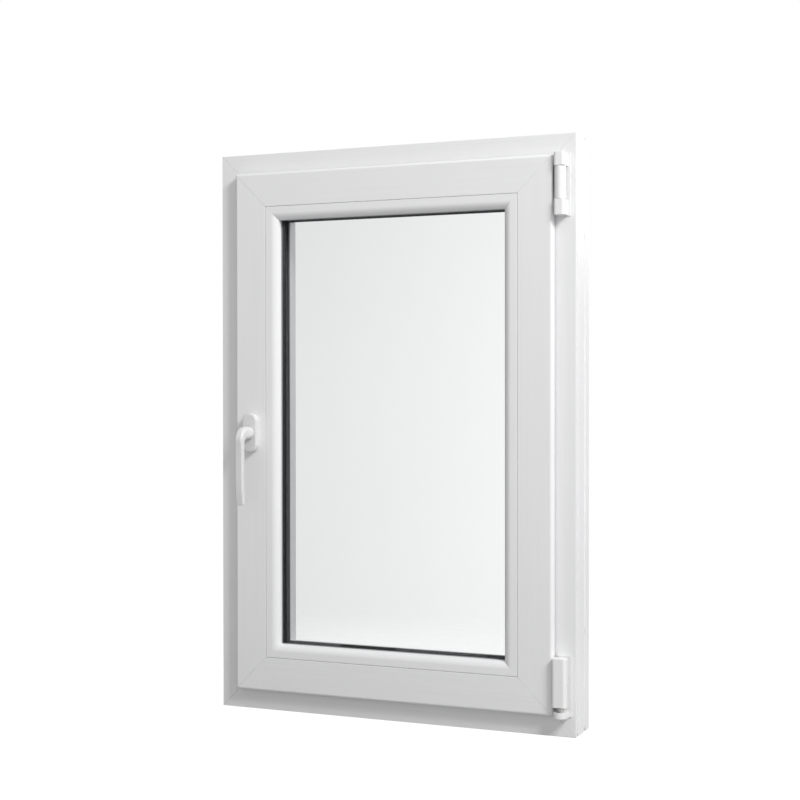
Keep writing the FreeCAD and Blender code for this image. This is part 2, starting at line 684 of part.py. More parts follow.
def lock_rod():
    """Lock-side drive rod that steps round the pinion and carries the rack."""
    body = new_body("rod_lock")
    level = "handle_height - frame_height/2"
    bar = new_sketch(body, "XZ_Plane", "-groove_mid")
    outline(bar, [
        ("rod_near", "-320"), ("rod_far", "-320"), ("rod_far", level + " - 39"),
        ("75", level + " - 39"), ("75", level + " + 19"), ("rod_far", level + " + 19"),
        ("rod_far", "350"), ("rod_near", "350"), ("rod_near", level + " + 11"),
        ("71", level + " + 11"), ("71", level + " - 31"), ("rod_near", level + " - 31")])
    pad(body, bar, "rod_wide", middle=True)
    tooth = new_sketch(body, "XZ_Plane", "-groove_mid")
    pitch = "(2*pi*gear_pitch/gear_teeth)"
    middle = "%s + 2.5*%s" % (level, pitch)
    line = "frame_width/2 - handle_across + gear_pitch"
    outline(tooth, [(line + " + 1.6", middle + " - 1.15"), (line + " - 1", middle + " - 0.35"),
                    (line + " - 1", middle + " + 0.35"), (line + " + 1.6", middle + " + 1.15")])
    first = pad(body, tooth, "gear_wide", middle=True)
    rack = body.newObject("PartDesign::LinearPattern", "Rack")
    rack.Originals = [first]
    rack.Direction = (tooth, ["V_Axis"])
    rack.Reversed = True
    rack.Mode = "Spacing"
    rack.Occurrences = 11
    bind(rack, Offset=pitch)
    body.Tip = rack
    for along in ("-200", "240"):
        cam(body, along)
    return place_on_side(body, "lock")


def pinion():
    """Twelve-tooth pinion with a square bore for the spindle."""
    body = new_body("drive_pinion")
    hub = new_sketch(body, "XZ_Plane")
    circle(hub, "0", "0", "hub_radius")
    pad(body, hub, "case_thick - 0.4", middle=True)
    tooth = new_sketch(body, "XZ_Plane")
    outline(tooth, [("gear_root - 1", "-1"), ("gear_tip", "-0.4"), ("gear_tip", "0.4"),
                    ("gear_root - 1", "1")])
    first = pad(body, tooth, "gear_wide", middle=True)
    wheel = body.newObject("PartDesign::PolarPattern", "Teeth")
    wheel.Originals = [first]
    wheel.Axis = (tooth, ["N_Axis"])
    wheel.Angle = 360
    bind(wheel, Occurrences="gear_teeth")
    body.Tip = wheel
    square = new_sketch(body, "XZ_Plane")
    outline(square, rectangle("-spindle_side/2", "spindle_side/2",
                              "-spindle_side/2", "spindle_side/2"))
    pocket(body, square, middle=True)
    return place(body, "-handle_across", "groove_mid - frame_depth/2", "handle_height")


def gearbox():
    """Pressed case round the pinion, open towards the faceplate."""
    level = "handle_height - frame_height/2"
    low = level + " - case_half"
    front = "groove_mid - case_thick/2"
    shell = box("case_near", front, low, "case_far - case_near", "case_thick", "2*case_half")
    inside = box("case_near - 1", front + " + 1.6", low + " + 1.5",
                 "case_far - case_near - 0.6", "case_thick - 3.2", "2*case_half - 3")
    path = box("case_near - 1", front + " + 1.6", low + " - 1", "6", "case_thick - 3.2",
               "2*case_half + 2")
    bore = rod("frame_width/2 - handle_across", front + " - 1", level, "hub_radius + 0.3",
               "case_thick + 2", -90, (1, 0, 0))
    item = node(cut(shell, inside, path, bore), "gearbox_case")
    return place_on_side(item, "lock")


# ---------------------------------------------------------------- handle

def stadium(sketch, wide, tall, shrink="0"):
    """Upright slot outline about the sketch origin."""
    half = "((%s)/2 - (%s))" % (wide, shrink)
    flat = "((%s)/2 - (%s)/2)" % (tall, wide)
    corners = [(half, "-" + flat), (half, flat), ("-" + half, flat), ("-" + half, "-" + flat)]
    outline(sketch, corners, {1: (half, -1, flat), 3: (half, -1, "-" + flat)})


def rosette():
    """Handle rosette with rounded ends, its base plate and two screws."""
    body = new_body("handle_rosette")
    shape = new_sketch(body, "XZ_Plane")
    stadium(shape, "rosette_wide", "rosette_tall")
    block = pad(body, shape, "rosette_thick")
    doc.recompute()
    front = [name for name, edge in zip(
        ["Edge%d" % (index + 1) for index in range(len(block.Shape.Edges))], block.Shape.Edges)
        if edge.BoundBox.YMax < -value("rosette_thick") + 0.01]
    soft = body.newObject("PartDesign::Fillet", "Soft")
    soft.Base = (block, front)
    soft.Radius = 3.5
    body.Tip = soft
    hollow = new_sketch(body, "XZ_Plane")
    stadium(hollow, "rosette_wide", "rosette_tall", "2")
    pocket(body, hollow, "rosette_thick - 3", back=True)
    neck = new_sketch(body, "XZ_Plane")
    circle(neck, "0", "0", "neck_radius + 0.4")
    pocket(body, neck, middle=True)
    place(body, "-handle_across", "-frame_depth/2 - sash_stand", "handle_height")

    base = new_body("handle_base")
    plate = new_sketch(base, "XZ_Plane")
    stadium(plate, "rosette_wide", "rosette_tall", "2.2")
    circle(plate, "0", "0", "neck_radius")
    for sign in ("1", "-1"):
        circle(plate, "0", "%s*screw_pitch/2" % sign, "2.6")
    pad(base, plate, "3")
    place(base, "-handle_across", "-frame_depth/2 - sash_stand", "handle_height")

    screws = []
    face = "-frame_depth/2 - sash_stand"
    for sign in ("1", "-1"):
        height = "handle_height + %s*screw_pitch/2" % sign
        shank = rod("-handle_across", face + " - 3", height, "2.4", "20", -90, (1, 0, 0))
        head = rod("-handle_across", face + " - 5.4", height, "4.4", "2.4", -90, (1, 0, 0))
        screws.append(joined(shank, head))
    node(grouped(screws), "handle_screws")


def lever():
    """Lever: round neck, elbow and a grip that hangs down and eases back."""
    body = new_body("handle_lever")
    ring_face = new_sketch(body, "XZ_Plane", "rosette_thick - 8")
    circle(ring_face, "0", "0", "neck_radius")
    pad(body, ring_face, "14")
    grip_front = "-(grip_stand)"
    path = new_sketch(body, "YZ_Plane")
    start = V(-value("rosette_thick"), 0, 0)
    turn = V(value(grip_front) + value("elbow_radius"), 0, 0)
    below = V(value(grip_front), -value("elbow_radius"), 0)
    ease = V(value(grip_front), -value("grip_drop") + 38, 0)
    end = V(value(grip_front) + 3.2, -value("grip_drop"), 0)
    corner = turn + V(-value("elbow_radius") * 0.70711, -value("elbow_radius") * 0.29289, 0)
    path.addGeometry([Part.LineSegment(start, turn), Part.Arc(turn, corner, below),
                      Part.LineSegment(below, ease),
                      curve_between(ease, end, 240, 1)], False)
    section = new_sketch(body, "XZ_Plane", "rosette_thick")
    shape = Part.Ellipse(V(0, 0, 0), value("grip_half_wide"), value("grip_half_deep"))
    number = section.addGeometry(shape, False)
    section.exposeInternalGeometry(number)
    section.addConstraint(Sketcher.Constraint("Coincident", number, 3, -1, 1))
    for line, text in ((number + 1, "2*grip_half_wide"), (number + 2, "2*grip_half_deep")):
        size = section.addConstraint(Sketcher.Constraint("Distance", line, value(text)))
        section.setExpression("Constraints[%d]" % size, bound(text))
    section.addConstraint(Sketcher.Constraint("Horizontal", number + 1))
    grip = body.newObject("PartDesign::AdditivePipe", "Grip")
    grip.Profile = section
    grip.Spine = (path, ["Edge1", "Edge2", "Edge3", "Edge4"])
    body.Tip = grip
    socket = new_sketch(body, "XZ_Plane", "rosette_thick - 9")
    outline(socket, rectangle("-spindle_side/2", "spindle_side/2",
                              "-spindle_side/2", "spindle_side/2"))
    pocket(body, socket, "14", back=True)
    place(body, "-handle_across", "-frame_depth/2 - sash_stand", "handle_height")
    front = "-frame_depth/2 - sash_stand - rosette_thick - 5"
    far = "groove_mid - frame_depth/2 + case_thick/2 - 0.4"
    node(box("-handle_across - spindle_side/2", front, "handle_height - spindle_side/2",
             "spindle_side", "%s - (%s)" % (far, front), "spindle_side"), "handle_spindle")


# ---------------------------------------------------------------- the window

def build():
    """Build every sub-part in the window frame."""
    rails = {"head": "head", "sill": "sill", "lock": "jamb_lock", "hinge": "jamb_hinge"}
    sash = {"head": "top_rail", "sill": "bottom_rail", "lock": "stile_lock",
            "hinge": "stile_hinge"}
    for side, name in rails.items():
        frame_rail("frame_" + name, side)
        steel("frame_steel_" + name, side, "frame_core_near + 0.5",
              "rebate_line - wall_thick - 0.5", "steel_near + 0.5", "steel_far - 0.5")
    for side, name in sash.items():
        sash_rail("sash_" + name, side)
        steel("sash_steel_" + name, side, "sash_edge_rear + wall_thick + 0.5",
              "bead_line - wall_thick + 1.5", "sash_steel_near + 0.5", "sash_steel_far - 0.5")
        bead("bead_" + name, side)
    ring("frame_seal", [
        ("frame_seal_near", "frame_seal_far", "flange_front - frame_seal_stand", "flange_front"),
        ("frame_seal_near + 1.1", "frame_seal_far - 1.1", "flange_front", "flange_front + 1.8")])
    sash_seal()
    glass()
    setting_blocks()

    spots = {"striker_lock_low": ("lock", "-189"), "striker_lock_high": ("lock", "251"),
             "striker_head": ("head", "-159"), "striker_sill": ("sill", "71")}
    for label, (side, along) in spots.items():
        striker(label, side, along)
    striker_screws(spots.values())
    hinge_lower()
    hinge_upper()
    stay()

    travel = "drive_travel"
    faceplate("faceplate_lock", "lock", "-360", "360", [
        ("-206", "-194 + " + travel, 3.8), ("234", "246 + " + travel, 3.8)])
    faceplate("faceplate_top", "head", "-228", "200", [
        ("-176", "-164 + " + travel, 3.8), ("11", "39", 4.4)])
    faceplate("faceplate_bottom", "sill", "-120", "228", [("54", "66 + " + travel, 3.8)])
    lock_rod()
    drive_rod("rod_top", "head", "-200", "-120", "-170")
    drive_rod("rod_bottom", "sill", "30", "200", "60")
    pinion()
    gearbox()
    rosette()
    lever()


def check_and_export():
    """Stop on any failed feature, then write one STEP file per sub-part."""
    doc.recompute()
    for item in doc.Objects:
        if "Invalid" in item.State or "Error" in item.State:
            raise RuntimeError("%s (%s) did not build: %s" % (item.Name, item.Label, item.State))
    os.makedirs("parts", exist_ok=True)
    for item in NODES:
        shape = item.Shape
        if shape.isNull() or not shape.isValid() or not shape.Solids:
            raise RuntimeError("%s has no sound shape" % item.Label)
        shape.exportStep(os.path.join("parts", item.Label + ".step"))
        size = shape.BoundBox
        print("%-24s %d solid(s)  X %.1f..%.1f  Y %.1f..%.1f  Z %.1f..%.1f" % (
            item.Label, len(shape.Solids), size.XMin, size.XMax, size.YMin, size.YMax,
            size.ZMin, size.ZMax))
    print(len(NODES), "sub-parts")


fill_sheet()
build()
check_and_export()
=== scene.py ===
"""Looks of a tilt-and-turn casement window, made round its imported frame.

Classes hold their sizes in millimetres, and a mesh is made in metres. A run of profile is
drawn with x = inset from the window's outer edge and y = depth behind the frame's room
face, and lies along z until it is turned onto its side of the window.
"""
import json
import logging
import math
from dataclasses import dataclass, field
from enum import Enum
from typing import Sequence

import bmesh
import bpy
from bpy.types import Material, Mesh, Node, NodeSocket, Object
from mathutils import Matrix, Vector
from mathutils.geometry import tessellate_polygon


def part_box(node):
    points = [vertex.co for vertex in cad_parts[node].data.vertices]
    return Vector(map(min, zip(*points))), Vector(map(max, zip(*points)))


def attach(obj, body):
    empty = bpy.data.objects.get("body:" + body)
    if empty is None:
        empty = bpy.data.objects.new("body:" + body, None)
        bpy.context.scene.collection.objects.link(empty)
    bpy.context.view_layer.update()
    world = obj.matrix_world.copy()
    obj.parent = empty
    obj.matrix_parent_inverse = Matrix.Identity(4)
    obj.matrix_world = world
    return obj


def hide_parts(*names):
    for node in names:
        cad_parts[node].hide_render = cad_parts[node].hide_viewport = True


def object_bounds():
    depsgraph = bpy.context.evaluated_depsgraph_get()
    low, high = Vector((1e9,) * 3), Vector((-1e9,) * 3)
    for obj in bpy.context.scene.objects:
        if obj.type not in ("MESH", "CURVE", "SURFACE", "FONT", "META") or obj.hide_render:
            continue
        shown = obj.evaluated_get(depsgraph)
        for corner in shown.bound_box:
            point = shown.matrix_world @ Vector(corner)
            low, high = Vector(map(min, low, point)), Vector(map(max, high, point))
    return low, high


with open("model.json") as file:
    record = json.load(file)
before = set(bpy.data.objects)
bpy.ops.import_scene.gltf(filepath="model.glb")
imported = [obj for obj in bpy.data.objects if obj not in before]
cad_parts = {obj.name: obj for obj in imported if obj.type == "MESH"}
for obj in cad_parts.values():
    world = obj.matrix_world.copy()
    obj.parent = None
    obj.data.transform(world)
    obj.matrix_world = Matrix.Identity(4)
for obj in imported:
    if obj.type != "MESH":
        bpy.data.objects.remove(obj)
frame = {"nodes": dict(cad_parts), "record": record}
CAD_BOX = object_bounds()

LOG = logging.getLogger("casement_window")
MM = 0.001
RECORD = frame["record"]
BODY_OF = {node: body for body, nodes in RECORD["behaviour"]["bodies"].items() for node in nodes}
SHARP_ANGLE = math.radians(50)
Point = tuple[float, float]
Colour = tuple[float, float, float]


def span(node: str, axis: int) -> float:
    """Give the extent of a CAD node along one axis, in millimetres."""
    low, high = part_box(node)
    return round((high[axis] - low[axis]) / MM, 3)


WIDTH = span("frame_head", 0)
HEIGHT = span("frame_jamb_lock", 2)
DEPTH = span("frame_head", 1)


# ------------------------------------------------------------------ node graphs

class Graph:
    """Adds nodes to one node tree and links them on the way."""

    def __init__(self, tree: bpy.types.NodeTree) -> None:
        """Work on the given tree."""
        self.tree = tree

    def add(self, kind: str, feeds: dict | None = None, **settings: object) -> Node:
        """Add one node.

        Args:
            kind: the node's Blender type.
            feeds: what each input gets, a socket to link or a constant.
            settings: properties of the node itself.

        Returns:
            The new node.
        """
        node = self.tree.nodes.new(kind)
        for name, value in settings.items():
            setattr(node, name, value)
        for key, source in (feeds or {}).items():
            if isinstance(source, NodeSocket):
                self.tree.links.new(source, node.inputs[key])
            else:
                node.inputs[key].default_value = source
        return node

    def math(self, operation: str, *values: object) -> NodeSocket:
        """Add a Math node and give its result."""
        return self.add("ShaderNodeMath", dict(enumerate(values)), operation=operation).outputs[0]

    def mix_colours(self, factor: NodeSocket, first: object, second: object) -> NodeSocket:
        """Mix two colours by a factor."""
        feeds = {0: factor, 6: first, 7: second}
        return self.add("ShaderNodeMix", feeds, data_type="RGBA").outputs[2]

    def mix_values(self, factor: NodeSocket, first: object, second: object) -> NodeSocket:
        """Mix two values by a factor."""
        return self.add("ShaderNodeMix", {0: factor, 2: first, 3: second}).outputs[0]

    def noise(self, place: NodeSocket, scale: float, detail: float = 2.0) -> NodeSocket:
        """Add a noise pattern of so many marks per metre and give its value."""
        feeds = {"Vector": place, "Scale": scale, "Detail": detail}
        return self.add("ShaderNodeTexNoise", feeds).outputs["Fac"]


class GrowingTree(Graph):
    """A Geometry Nodes tree with named inputs that ends in a realised, dressed mesh."""

    def __init__(self, name: str, sizes: dict[str, float]) -> None:
        """Start the tree.

        Args:
            name: the tree's name.
            sizes: each named size input and its usual value, in metres.
        """
        super().__init__(bpy.data.node_groups.new(name, "GeometryNodeTree"))
        face = self.tree.interface
        face.new_socket("Geometry", in_out="OUTPUT", socket_type="NodeSocketGeometry")
        face.new_socket("Geometry", in_out="INPUT", socket_type="NodeSocketGeometry")
        for label, size in sizes.items():
            socket = face.new_socket(label, in_out="INPUT", socket_type="NodeSocketFloat")
            socket.default_value = size
        face.new_socket("Direction", in_out="INPUT", socket_type="NodeSocketVector")
        face.new_socket("Material", in_out="INPUT", socket_type="NodeSocketMaterial")
        self.given = self.add("NodeGroupInput").outputs

    def join(self, *parts: NodeSocket) -> NodeSocket:
        """Join several geometries."""
        node = self.add("GeometryNodeJoinGeometry")
        for part in parts:
            self.tree.links.new(part, node.inputs[0])
        return node.outputs[0]

    def close(self, geometry: NodeSocket) -> "GrowingTree":
        """End the tree in Realize Instances and Set Material."""
        real = self.add("GeometryNodeRealizeInstances", {0: geometry}).outputs[0]
        feeds = {"Geometry": real, "Material": self.given["Material"]}
        dressed = self.add("GeometryNodeSetMaterial", feeds).outputs[0]
        self.add("NodeGroupOutput", {0: dressed})
        return self

    def grow(self, start: Mesh, material: Material, **sizes: object) -> Mesh:
        """Run the tree on a mesh.

        Args:
            start: the mesh that the tree is given, which is used up.
            material: the material of the result.
            sizes: inputs by name, an underscore standing for a space.

        Returns:
            A plain mesh.
        """
        carrier = shown(start, self.tree.name)
        modifier = carrier.modifiers.new(self.tree.name, "NODES")
        modifier.node_group = self.tree
        wanted = {name.replace("_", " "): value for name, value in sizes.items()}
        wanted["Material"] = material
        for socket in self.tree.interface.items_tree:
            if socket.in_out == "INPUT" and socket.name in wanted:
                modifier[socket.identifier] = wanted[socket.name]
        return settled(carrier)


# ------------------------------------------------------------------ mesh helpers

def shown(mesh: Mesh, name: str) -> Object:
    """Put a mesh into the scene as an object at the origin.

    Args:
        mesh: the mesh.
        name: the object's name.

    Returns:
        The object.
    """
    item = bpy.data.objects.new(name, mesh)
    bpy.context.scene.collection.objects.link(item)
    return item


def settled(carrier: Object) -> Mesh:
    """Turn an object with modifiers into a plain mesh.

    Args:
        carrier: the object, which is removed with its own mesh.

    Returns:
        The plain mesh.
    """
    graph = bpy.context.evaluated_depsgraph_get()
    plain = bpy.data.meshes.new_from_object(
        carrier.evaluated_get(graph), preserve_all_data_layers=True, depsgraph=graph)
    used = carrier.data
    bpy.data.objects.remove(carrier)
    bpy.data.meshes.remove(used)
    return plain


def from_bmesh(bm: bmesh.types.BMesh, name: str) -> Mesh:
    """Write a bmesh into a new mesh.

    Args:
        bm: the bmesh, which is freed.
        name: the new mesh's name.

    Returns:
        The mesh.
    """
    mesh = bpy.data.meshes.new(name)
    bm.to_mesh(mesh)
    bm.free()
    return mesh


def merged(meshes: Sequence[Mesh], name: str, distance: float = 0.0) -> Mesh:
    """Put several meshes into one.

    Args:
        meshes: the meshes, which are used up.
        name: the new mesh's name.
        distance: how near corners have to be to become one, 0 for never.

    Returns:
        The joined mesh, with the materials of the first.
    """
    bm = bmesh.new()
    for mesh in meshes:
        bm.from_mesh(mesh)
    if distance:
        bmesh.ops.remove_doubles(bm, verts=bm.verts, dist=distance)
    whole = from_bmesh(bm, name)
    for material in meshes[0].materials:
        whole.materials.append(material)
    for mesh in meshes:
        bpy.data.meshes.remove(mesh)
    return whole


def lofted(rings: Sequence[Sequence[Vector]], name: str, looped: bool = False) -> Mesh:
    """Skin a row of rings that all have the same number of points.

    Args:
        rings: the rings in order.
        name: the new mesh's name.
        looped: True joins the last ring to the first, and False caps both ends.

    Returns:
        A closed mesh with its faces outwards.
    """
    bm = bmesh.new()
    loops = [[bm.verts.new(point) for point in ring] for ring in rings]
    count = len(loops[0])
    pairs = list(zip(loops, loops[1:]))
    if looped:
        pairs.append((loops[-1], loops[0]))
    else:
        bm.faces.new(loops[0])
        bm.faces.new(loops[-1])
    for first, second in pairs:
        for index in range(count):
            after = (index + 1) % count
            bm.faces.new((first[index], first[after], second[after], second[index]))
    bmesh.ops.recalc_face_normals(bm, faces=bm.faces)
    return from_bmesh(bm, name)


def block(low: Vector, high: Vector) -> Mesh:
    """Make a cutting block.

    Args:
        low: its lowest corner, in millimetres.
        high: its highest corner, in millimetres.

    Returns:
        A closed mesh.
    """
    bm = bmesh.new()
    middle = (Vector(low) + Vector(high)) * 0.5 * MM
    size = (Vector(high) - Vector(low)) * MM
    bmesh.ops.create_cube(bm, size=1.0,
                          matrix=Matrix.Translation(middle) @ Matrix.Diagonal((*size, 1.0)))
    return from_bmesh(bm, "block_tool")


def slot_bar(first: Vector, second: Vector, axis: str, radius: float, length: float) -> Mesh:
    """Make a cutting bar of round or slot section.

    Args:
        first: centre of one rounded end, in millimetres.
        second: centre of the other, the same point for a round bar.
        axis: X or Y, the way the bar runs.
        radius: of its rounded ends, in millimetres.
        length: of the bar, in millimetres.

    Returns:
        A closed mesh.
    """
    along, across = Vector((1, 0, 0)), Vector((0, 1, 0))
    if axis == "Y":
        along, across = across, along
    rings = []
    for end in (-0.5, 0.5):
        ring = []
        for index in range(32):
            angle = 2 * math.pi * (index + 0.5) / 32
            reach = (across * math.cos(angle) + Vector((0, 0, math.sin(angle)))) * radius
            centre = second if reach.dot(second - first) > 0 else first
            ring.append((centre + reach + along * end * length) * MM)
        rings.append(ring)
    return lofted(rings, "slot_tool")


def carved(mesh: Mesh, tools: Sequence[Mesh]) -> Mesh:
    """Cut tool shapes out of a mesh.

    Args:
        mesh: a closed mesh, which is used up.
        tools: the closed tool shapes, which are used up too.

    Returns:
        The cut mesh.
    """
    base = shown(mesh, "carving")
    cutters = [shown(tool, "tool") for tool in tools]
    for cutter in cutters:
        cut = base.modifiers.new("Cut", "BOOLEAN")
        cut.operation, cut.solver, cut.object = "DIFFERENCE", "MANIFOLD", cutter
    result = settled(base)
    for cutter in cutters:
        used = cutter.data
        bpy.data.objects.remove(cutter)
        bpy.data.meshes.remove(used)
    return result


def smoothed(mesh: Mesh, material: Material) -> Mesh:
    """Give a mesh its only material and shading that keeps its broad faces flat.

    Args:
        mesh: the mesh, which is used up.
        material: the material.

    Returns:
        The finished mesh.
    """
    mesh.materials.clear()
    mesh.materials.append(material)
    mesh.polygons.foreach_set("material_index", [0] * len(mesh.polygons))
    mesh.shade_smooth()
    mesh.set_sharp_from_angle(angle=SHARP_ANGLE)
    carrier = shown(mesh, "smoothing")
    weighting = carrier.modifiers.new("Weight", "WEIGHTED_NORMAL")
    weighting.keep_sharp = True
    return settled(carrier)


def hand_over(mesh: Mesh, name: str, material: Material, like: str) -> Object:
    """Make a finished piece that stands for one CAD node.

    Args:
        mesh: the finished mesh, in place in the window.
        name: the piece's name.
        material: its only material.
        like: the CAD node whose body it takes and which it replaces.

    Returns:
        The piece.
    """
    piece = hand_over_extra(mesh, name, material, BODY_OF[like])
    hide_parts(like)
    return piece


def hand_over_extra(mesh: Mesh, name: str, material: Material, body: str) -> Object:
    """Make a finished piece of trim that stands for no CAD node.

    Args:
        mesh: the finished mesh, in place in the window.
        name: the piece's name.
        material: its only material.
        body: the CAD body that it rides on.

    Returns:
        The piece.
    """
    piece = shown(smoothed(mesh, material), name)
    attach(piece, body)
    LOG.info("%s: %d faces, rides on %s", name, len(piece.data.polygons), body)
    return piece


def eased_copy(node: str, material: Material, edge: float = 0.25) -> Object:
    """Stand a copy with eased edges in for a CAD node.

    Args:
        node: the CAD node, whose shape is kept.
        material: the copy's material.
        edge: width of the eased edges, in millimetres.

    Returns:
        The piece.
    """
    bm = bmesh.new()
    bm.from_mesh(frame["nodes"][node].data)
    bmesh.ops.remove_doubles(bm, verts=bm.verts, dist=1e-6)
    bmesh.ops.dissolve_limit(bm, angle_limit=math.radians(0.5), verts=bm.verts, edges=bm.edges)
    carrier = shown(from_bmesh(bm, node + "_copy"), node + "_copy")
    bevel = carrier.modifiers.new("Ease", "BEVEL")
    bevel.width, bevel.segments = edge * MM, 2
    bevel.limit_method, bevel.angle_limit = "ANGLE", math.radians(40)
    return hand_over(settled(carrier), node + "_finished", material, node)


# ------------------------------------------------------------------ finishes

def blank_material(name: str) -> tuple[Material, Graph]:
    """Make an empty node material.

    Args:
        name: the material's name.

    Returns:
        The material, and the graph that fills it.
    """
    made = bpy.data.materials.new(name)
    made.use_nodes = True
    made.node_tree.nodes.clear()
    return made, Graph(made.node_tree)


class Grain(Enum):
    """Which way the marks of a finish run, as the pattern's scale along each axis."""

    EVEN = (1.0, 1.0, 1.0)
    LEVEL = (0.02, 1.0, 1.0)
    UPRIGHT = (1.0, 1.0, 0.02)


@dataclass(frozen=True)
class Finish:
    """An opaque finish with marks, slow tone changes and a fine relief.

    The spreads are shares of the colour and steps of roughness, marks and relief are counts
    per metre, and height is the relief's height in metres.
    """

    name: str
    colour: Colour
    roughness: float
    spread: float = 0.012
    roughness_spread: float = 0.05
    marks: float = 260.0
    relief: float = 900.0
    height: float = 0.000012
    metallic: float = 0.0
    specular: float = 0.5
    coat: float = 0.0
    sheen: float = 0.0
    spangled: bool = False

    def tone(self, share: float) -> tuple[float, float, float, float]:
        """Give the colour made lighter or darker by a share."""
        return (*(min(part * (1 + share), 1.0) for part in self.colour), 1.0)

    def pattern(self, graph: Graph, run: NodeSocket) -> NodeSocket:
        """Give the pattern of marks, flat crystals for a spangled finish."""
        if self.spangled:
            cells = graph.add("ShaderNodeTexVoronoi", {"Vector": run, "Scale": self.marks})
            return graph.add("ShaderNodeSeparateColor", {0: cells.outputs["Color"]}).outputs[0]
        return graph.noise(run, self.marks, 3.0)

    def material(self, grain: Grain = Grain.EVEN) -> Material:
        """Make the material, or give the one already made.

        Args:
            grain: which way its marks run.

        Returns:
            The material.
        """
        label = f"{self.name}_{grain.name.lower()}"
        if label in bpy.data.materials:
            return bpy.data.materials[label]
        made, graph = blank_material(label)
        place = graph.add("ShaderNodeTexCoord").outputs["Object"]
        run = graph.add("ShaderNodeMapping", {"Vector": place, "Scale": grain.value}).outputs[0]
        marks = self.pattern(graph, run)
        slow = graph.noise(place, 7.0)
        blend = graph.math("ADD", graph.math("MULTIPLY", marks, 0.6),
                           graph.math("MULTIPLY", slow, 0.4))
        stretched = graph.add("ShaderNodeMapRange", {
            "Value": blend, "From Min": 0.3, "From Max": 0.7, "To Min": 0.0, "To Max": 1.0})
        share = stretched.outputs[0]
        colour = graph.mix_colours(share, self.tone(-self.spread), self.tone(self.spread))
        rough = graph.add("ShaderNodeMapRange", {
            "Value": share, "From Min": 0.0, "From Max": 1.0,
            "To Min": self.roughness - self.roughness_spread,
            "To Max": self.roughness + self.roughness_spread}).outputs[0]
        relief = graph.math("ADD", graph.noise(place, self.relief, 3.0),
                            graph.math("MULTIPLY", marks, 0.5))
        normal = graph.add("ShaderNodeBump", {
            "Height": relief, "Distance": self.height, "Strength": 1.0}).outputs[0]
        surface = graph.add("ShaderNodeBsdfPrincipled", {
            "Base Color": colour, "Roughness": rough, "Normal": normal,
            "Metallic": self.metallic, "Specular IOR Level": self.specular,
            "Coat Weight": self.coat, "Sheen Weight": self.sheen})
        graph.add("ShaderNodeOutputMaterial", {"Surface": surface.outputs[0]})
        return made


@dataclass(frozen=True)
class PaneGlass:
    """Float glass: a clear tinted sheet whose shine grows towards a glancing view."""

    name: str = "float_glass"
    tint: Colour = (0.952, 0.956, 0.955)
    shine: float = 0.010

    def material(self) -> Material:
        """Make the material.

        Returns:
            A mix of a tinted transparent shader and a mirror.
        """
        made, graph = blank_material(self.name)
        place = graph.add("ShaderNodeTexCoord").outputs["Object"]
        cloud = graph.noise(place, 4.0)
        darker = (*(part * 0.994 for part in self.tint), 1.0)
        tint = graph.mix_colours(cloud, darker, (*self.tint, 1.0))
        clear = graph.add("ShaderNodeBsdfTransparent", {"Color": tint}).outputs[0]
        wave = graph.add("ShaderNodeBump", {
            "Height": graph.noise(place, 9.0, 1.0), "Distance": 0.00003, "Strength": 1.0})
        smear = graph.add("ShaderNodeMapRange", {
            "Value": cloud, "From Min": 0.3, "From Max": 0.7, "To Min": 0.0, "To Max": 0.03})
        mirror = graph.add("ShaderNodeBsdfGlossy", {
            "Roughness": smear.outputs[0], "Normal": wave.outputs[0]}).outputs[0]
        facing = graph.add("ShaderNodeLayerWeight", {"Blend": 0.5}).outputs["Facing"]
        glancing = graph.math("POWER", facing, 5.0)
        share = graph.math("MULTIPLY_ADD", glancing, 1.0 - self.shine, self.shine)
        both = graph.add("ShaderNodeMixShader", {0: share, 1: clear, 2: mirror})
        graph.add("ShaderNodeOutputMaterial", {"Surface": both.outputs[0]})
        return made


UPVC = Finish("white_upvc", (0.866, 0.867, 0.874), 0.34, spread=0.018, marks=330)
BEAD_UPVC = Finish("white_bead_upvc", (0.87, 0.871, 0.878), 0.30, spread=0.014)
COVER_ABS = Finish("white_cover", (0.885, 0.885, 0.882), 0.24, marks=120, relief=700)
HINGE_COAT = Finish("white_hinge_coat", (0.86, 0.86, 0.857), 0.36, relief=1500,
                    height=0.00003)
HANDLE_COAT = Finish("white_handle_coat", (0.76, 0.76, 0.762), 0.34, relief=1400,
                     height=0.00002, coat=0.15)
GALVANISED = Finish("galvanised_steel", (0.60, 0.61, 0.62), 0.42, spread=0.12,
                    roughness_spread=0.1, marks=160, metallic=1.0, spangled=True)
GEAR_STEEL = Finish("zinc_plated_steel", (0.66, 0.66, 0.64), 0.33, spread=0.06,
                    roughness_spread=0.09, marks=700, height=0.000006, metallic=1.0)
CAST_ZINC = Finish("cast_zinc", (0.57, 0.57, 0.555), 0.45, spread=0.07,
                   roughness_spread=0.08, marks=500, relief=1800, height=0.00004, metallic=1.0)
SCREW_STEEL = Finish("screw_steel", (0.62, 0.62, 0.60), 0.30, spread=0.08,
                     roughness_spread=0.08, marks=900, metallic=1.0)
SEAL_RUBBER = Finish("black_seal_rubber", (0.055, 0.055, 0.058), 0.62, spread=0.15,
                     marks=400, relief=1600, height=0.00004, specular=0.35, sheen=0.1)
GASKET_RUBBER = Finish("grey_gasket_rubber", (0.235, 0.24, 0.25), 0.55, spread=0.10,
                       marks=350, relief=1600, height=0.00003, specular=0.4, sheen=0.1)
SPACER_BLACK = Finish("near_black_spacer", (0.012, 0.012, 0.014), 0.5, spread=0.15,
                      specular=0.25, marks=500, relief=1200, height=0.00002)
SEALANT = Finish("black_sealant", (0.018, 0.018, 0.018), 0.5, spread=0.2, marks=90,
                 relief=240, height=0.0002)
BLOCK_PLASTIC = Finish("blue_block_plastic", (0.20, 0.29, 0.47), 0.48, spread=0.05,
                       marks=200, relief=1100, height=0.00003)


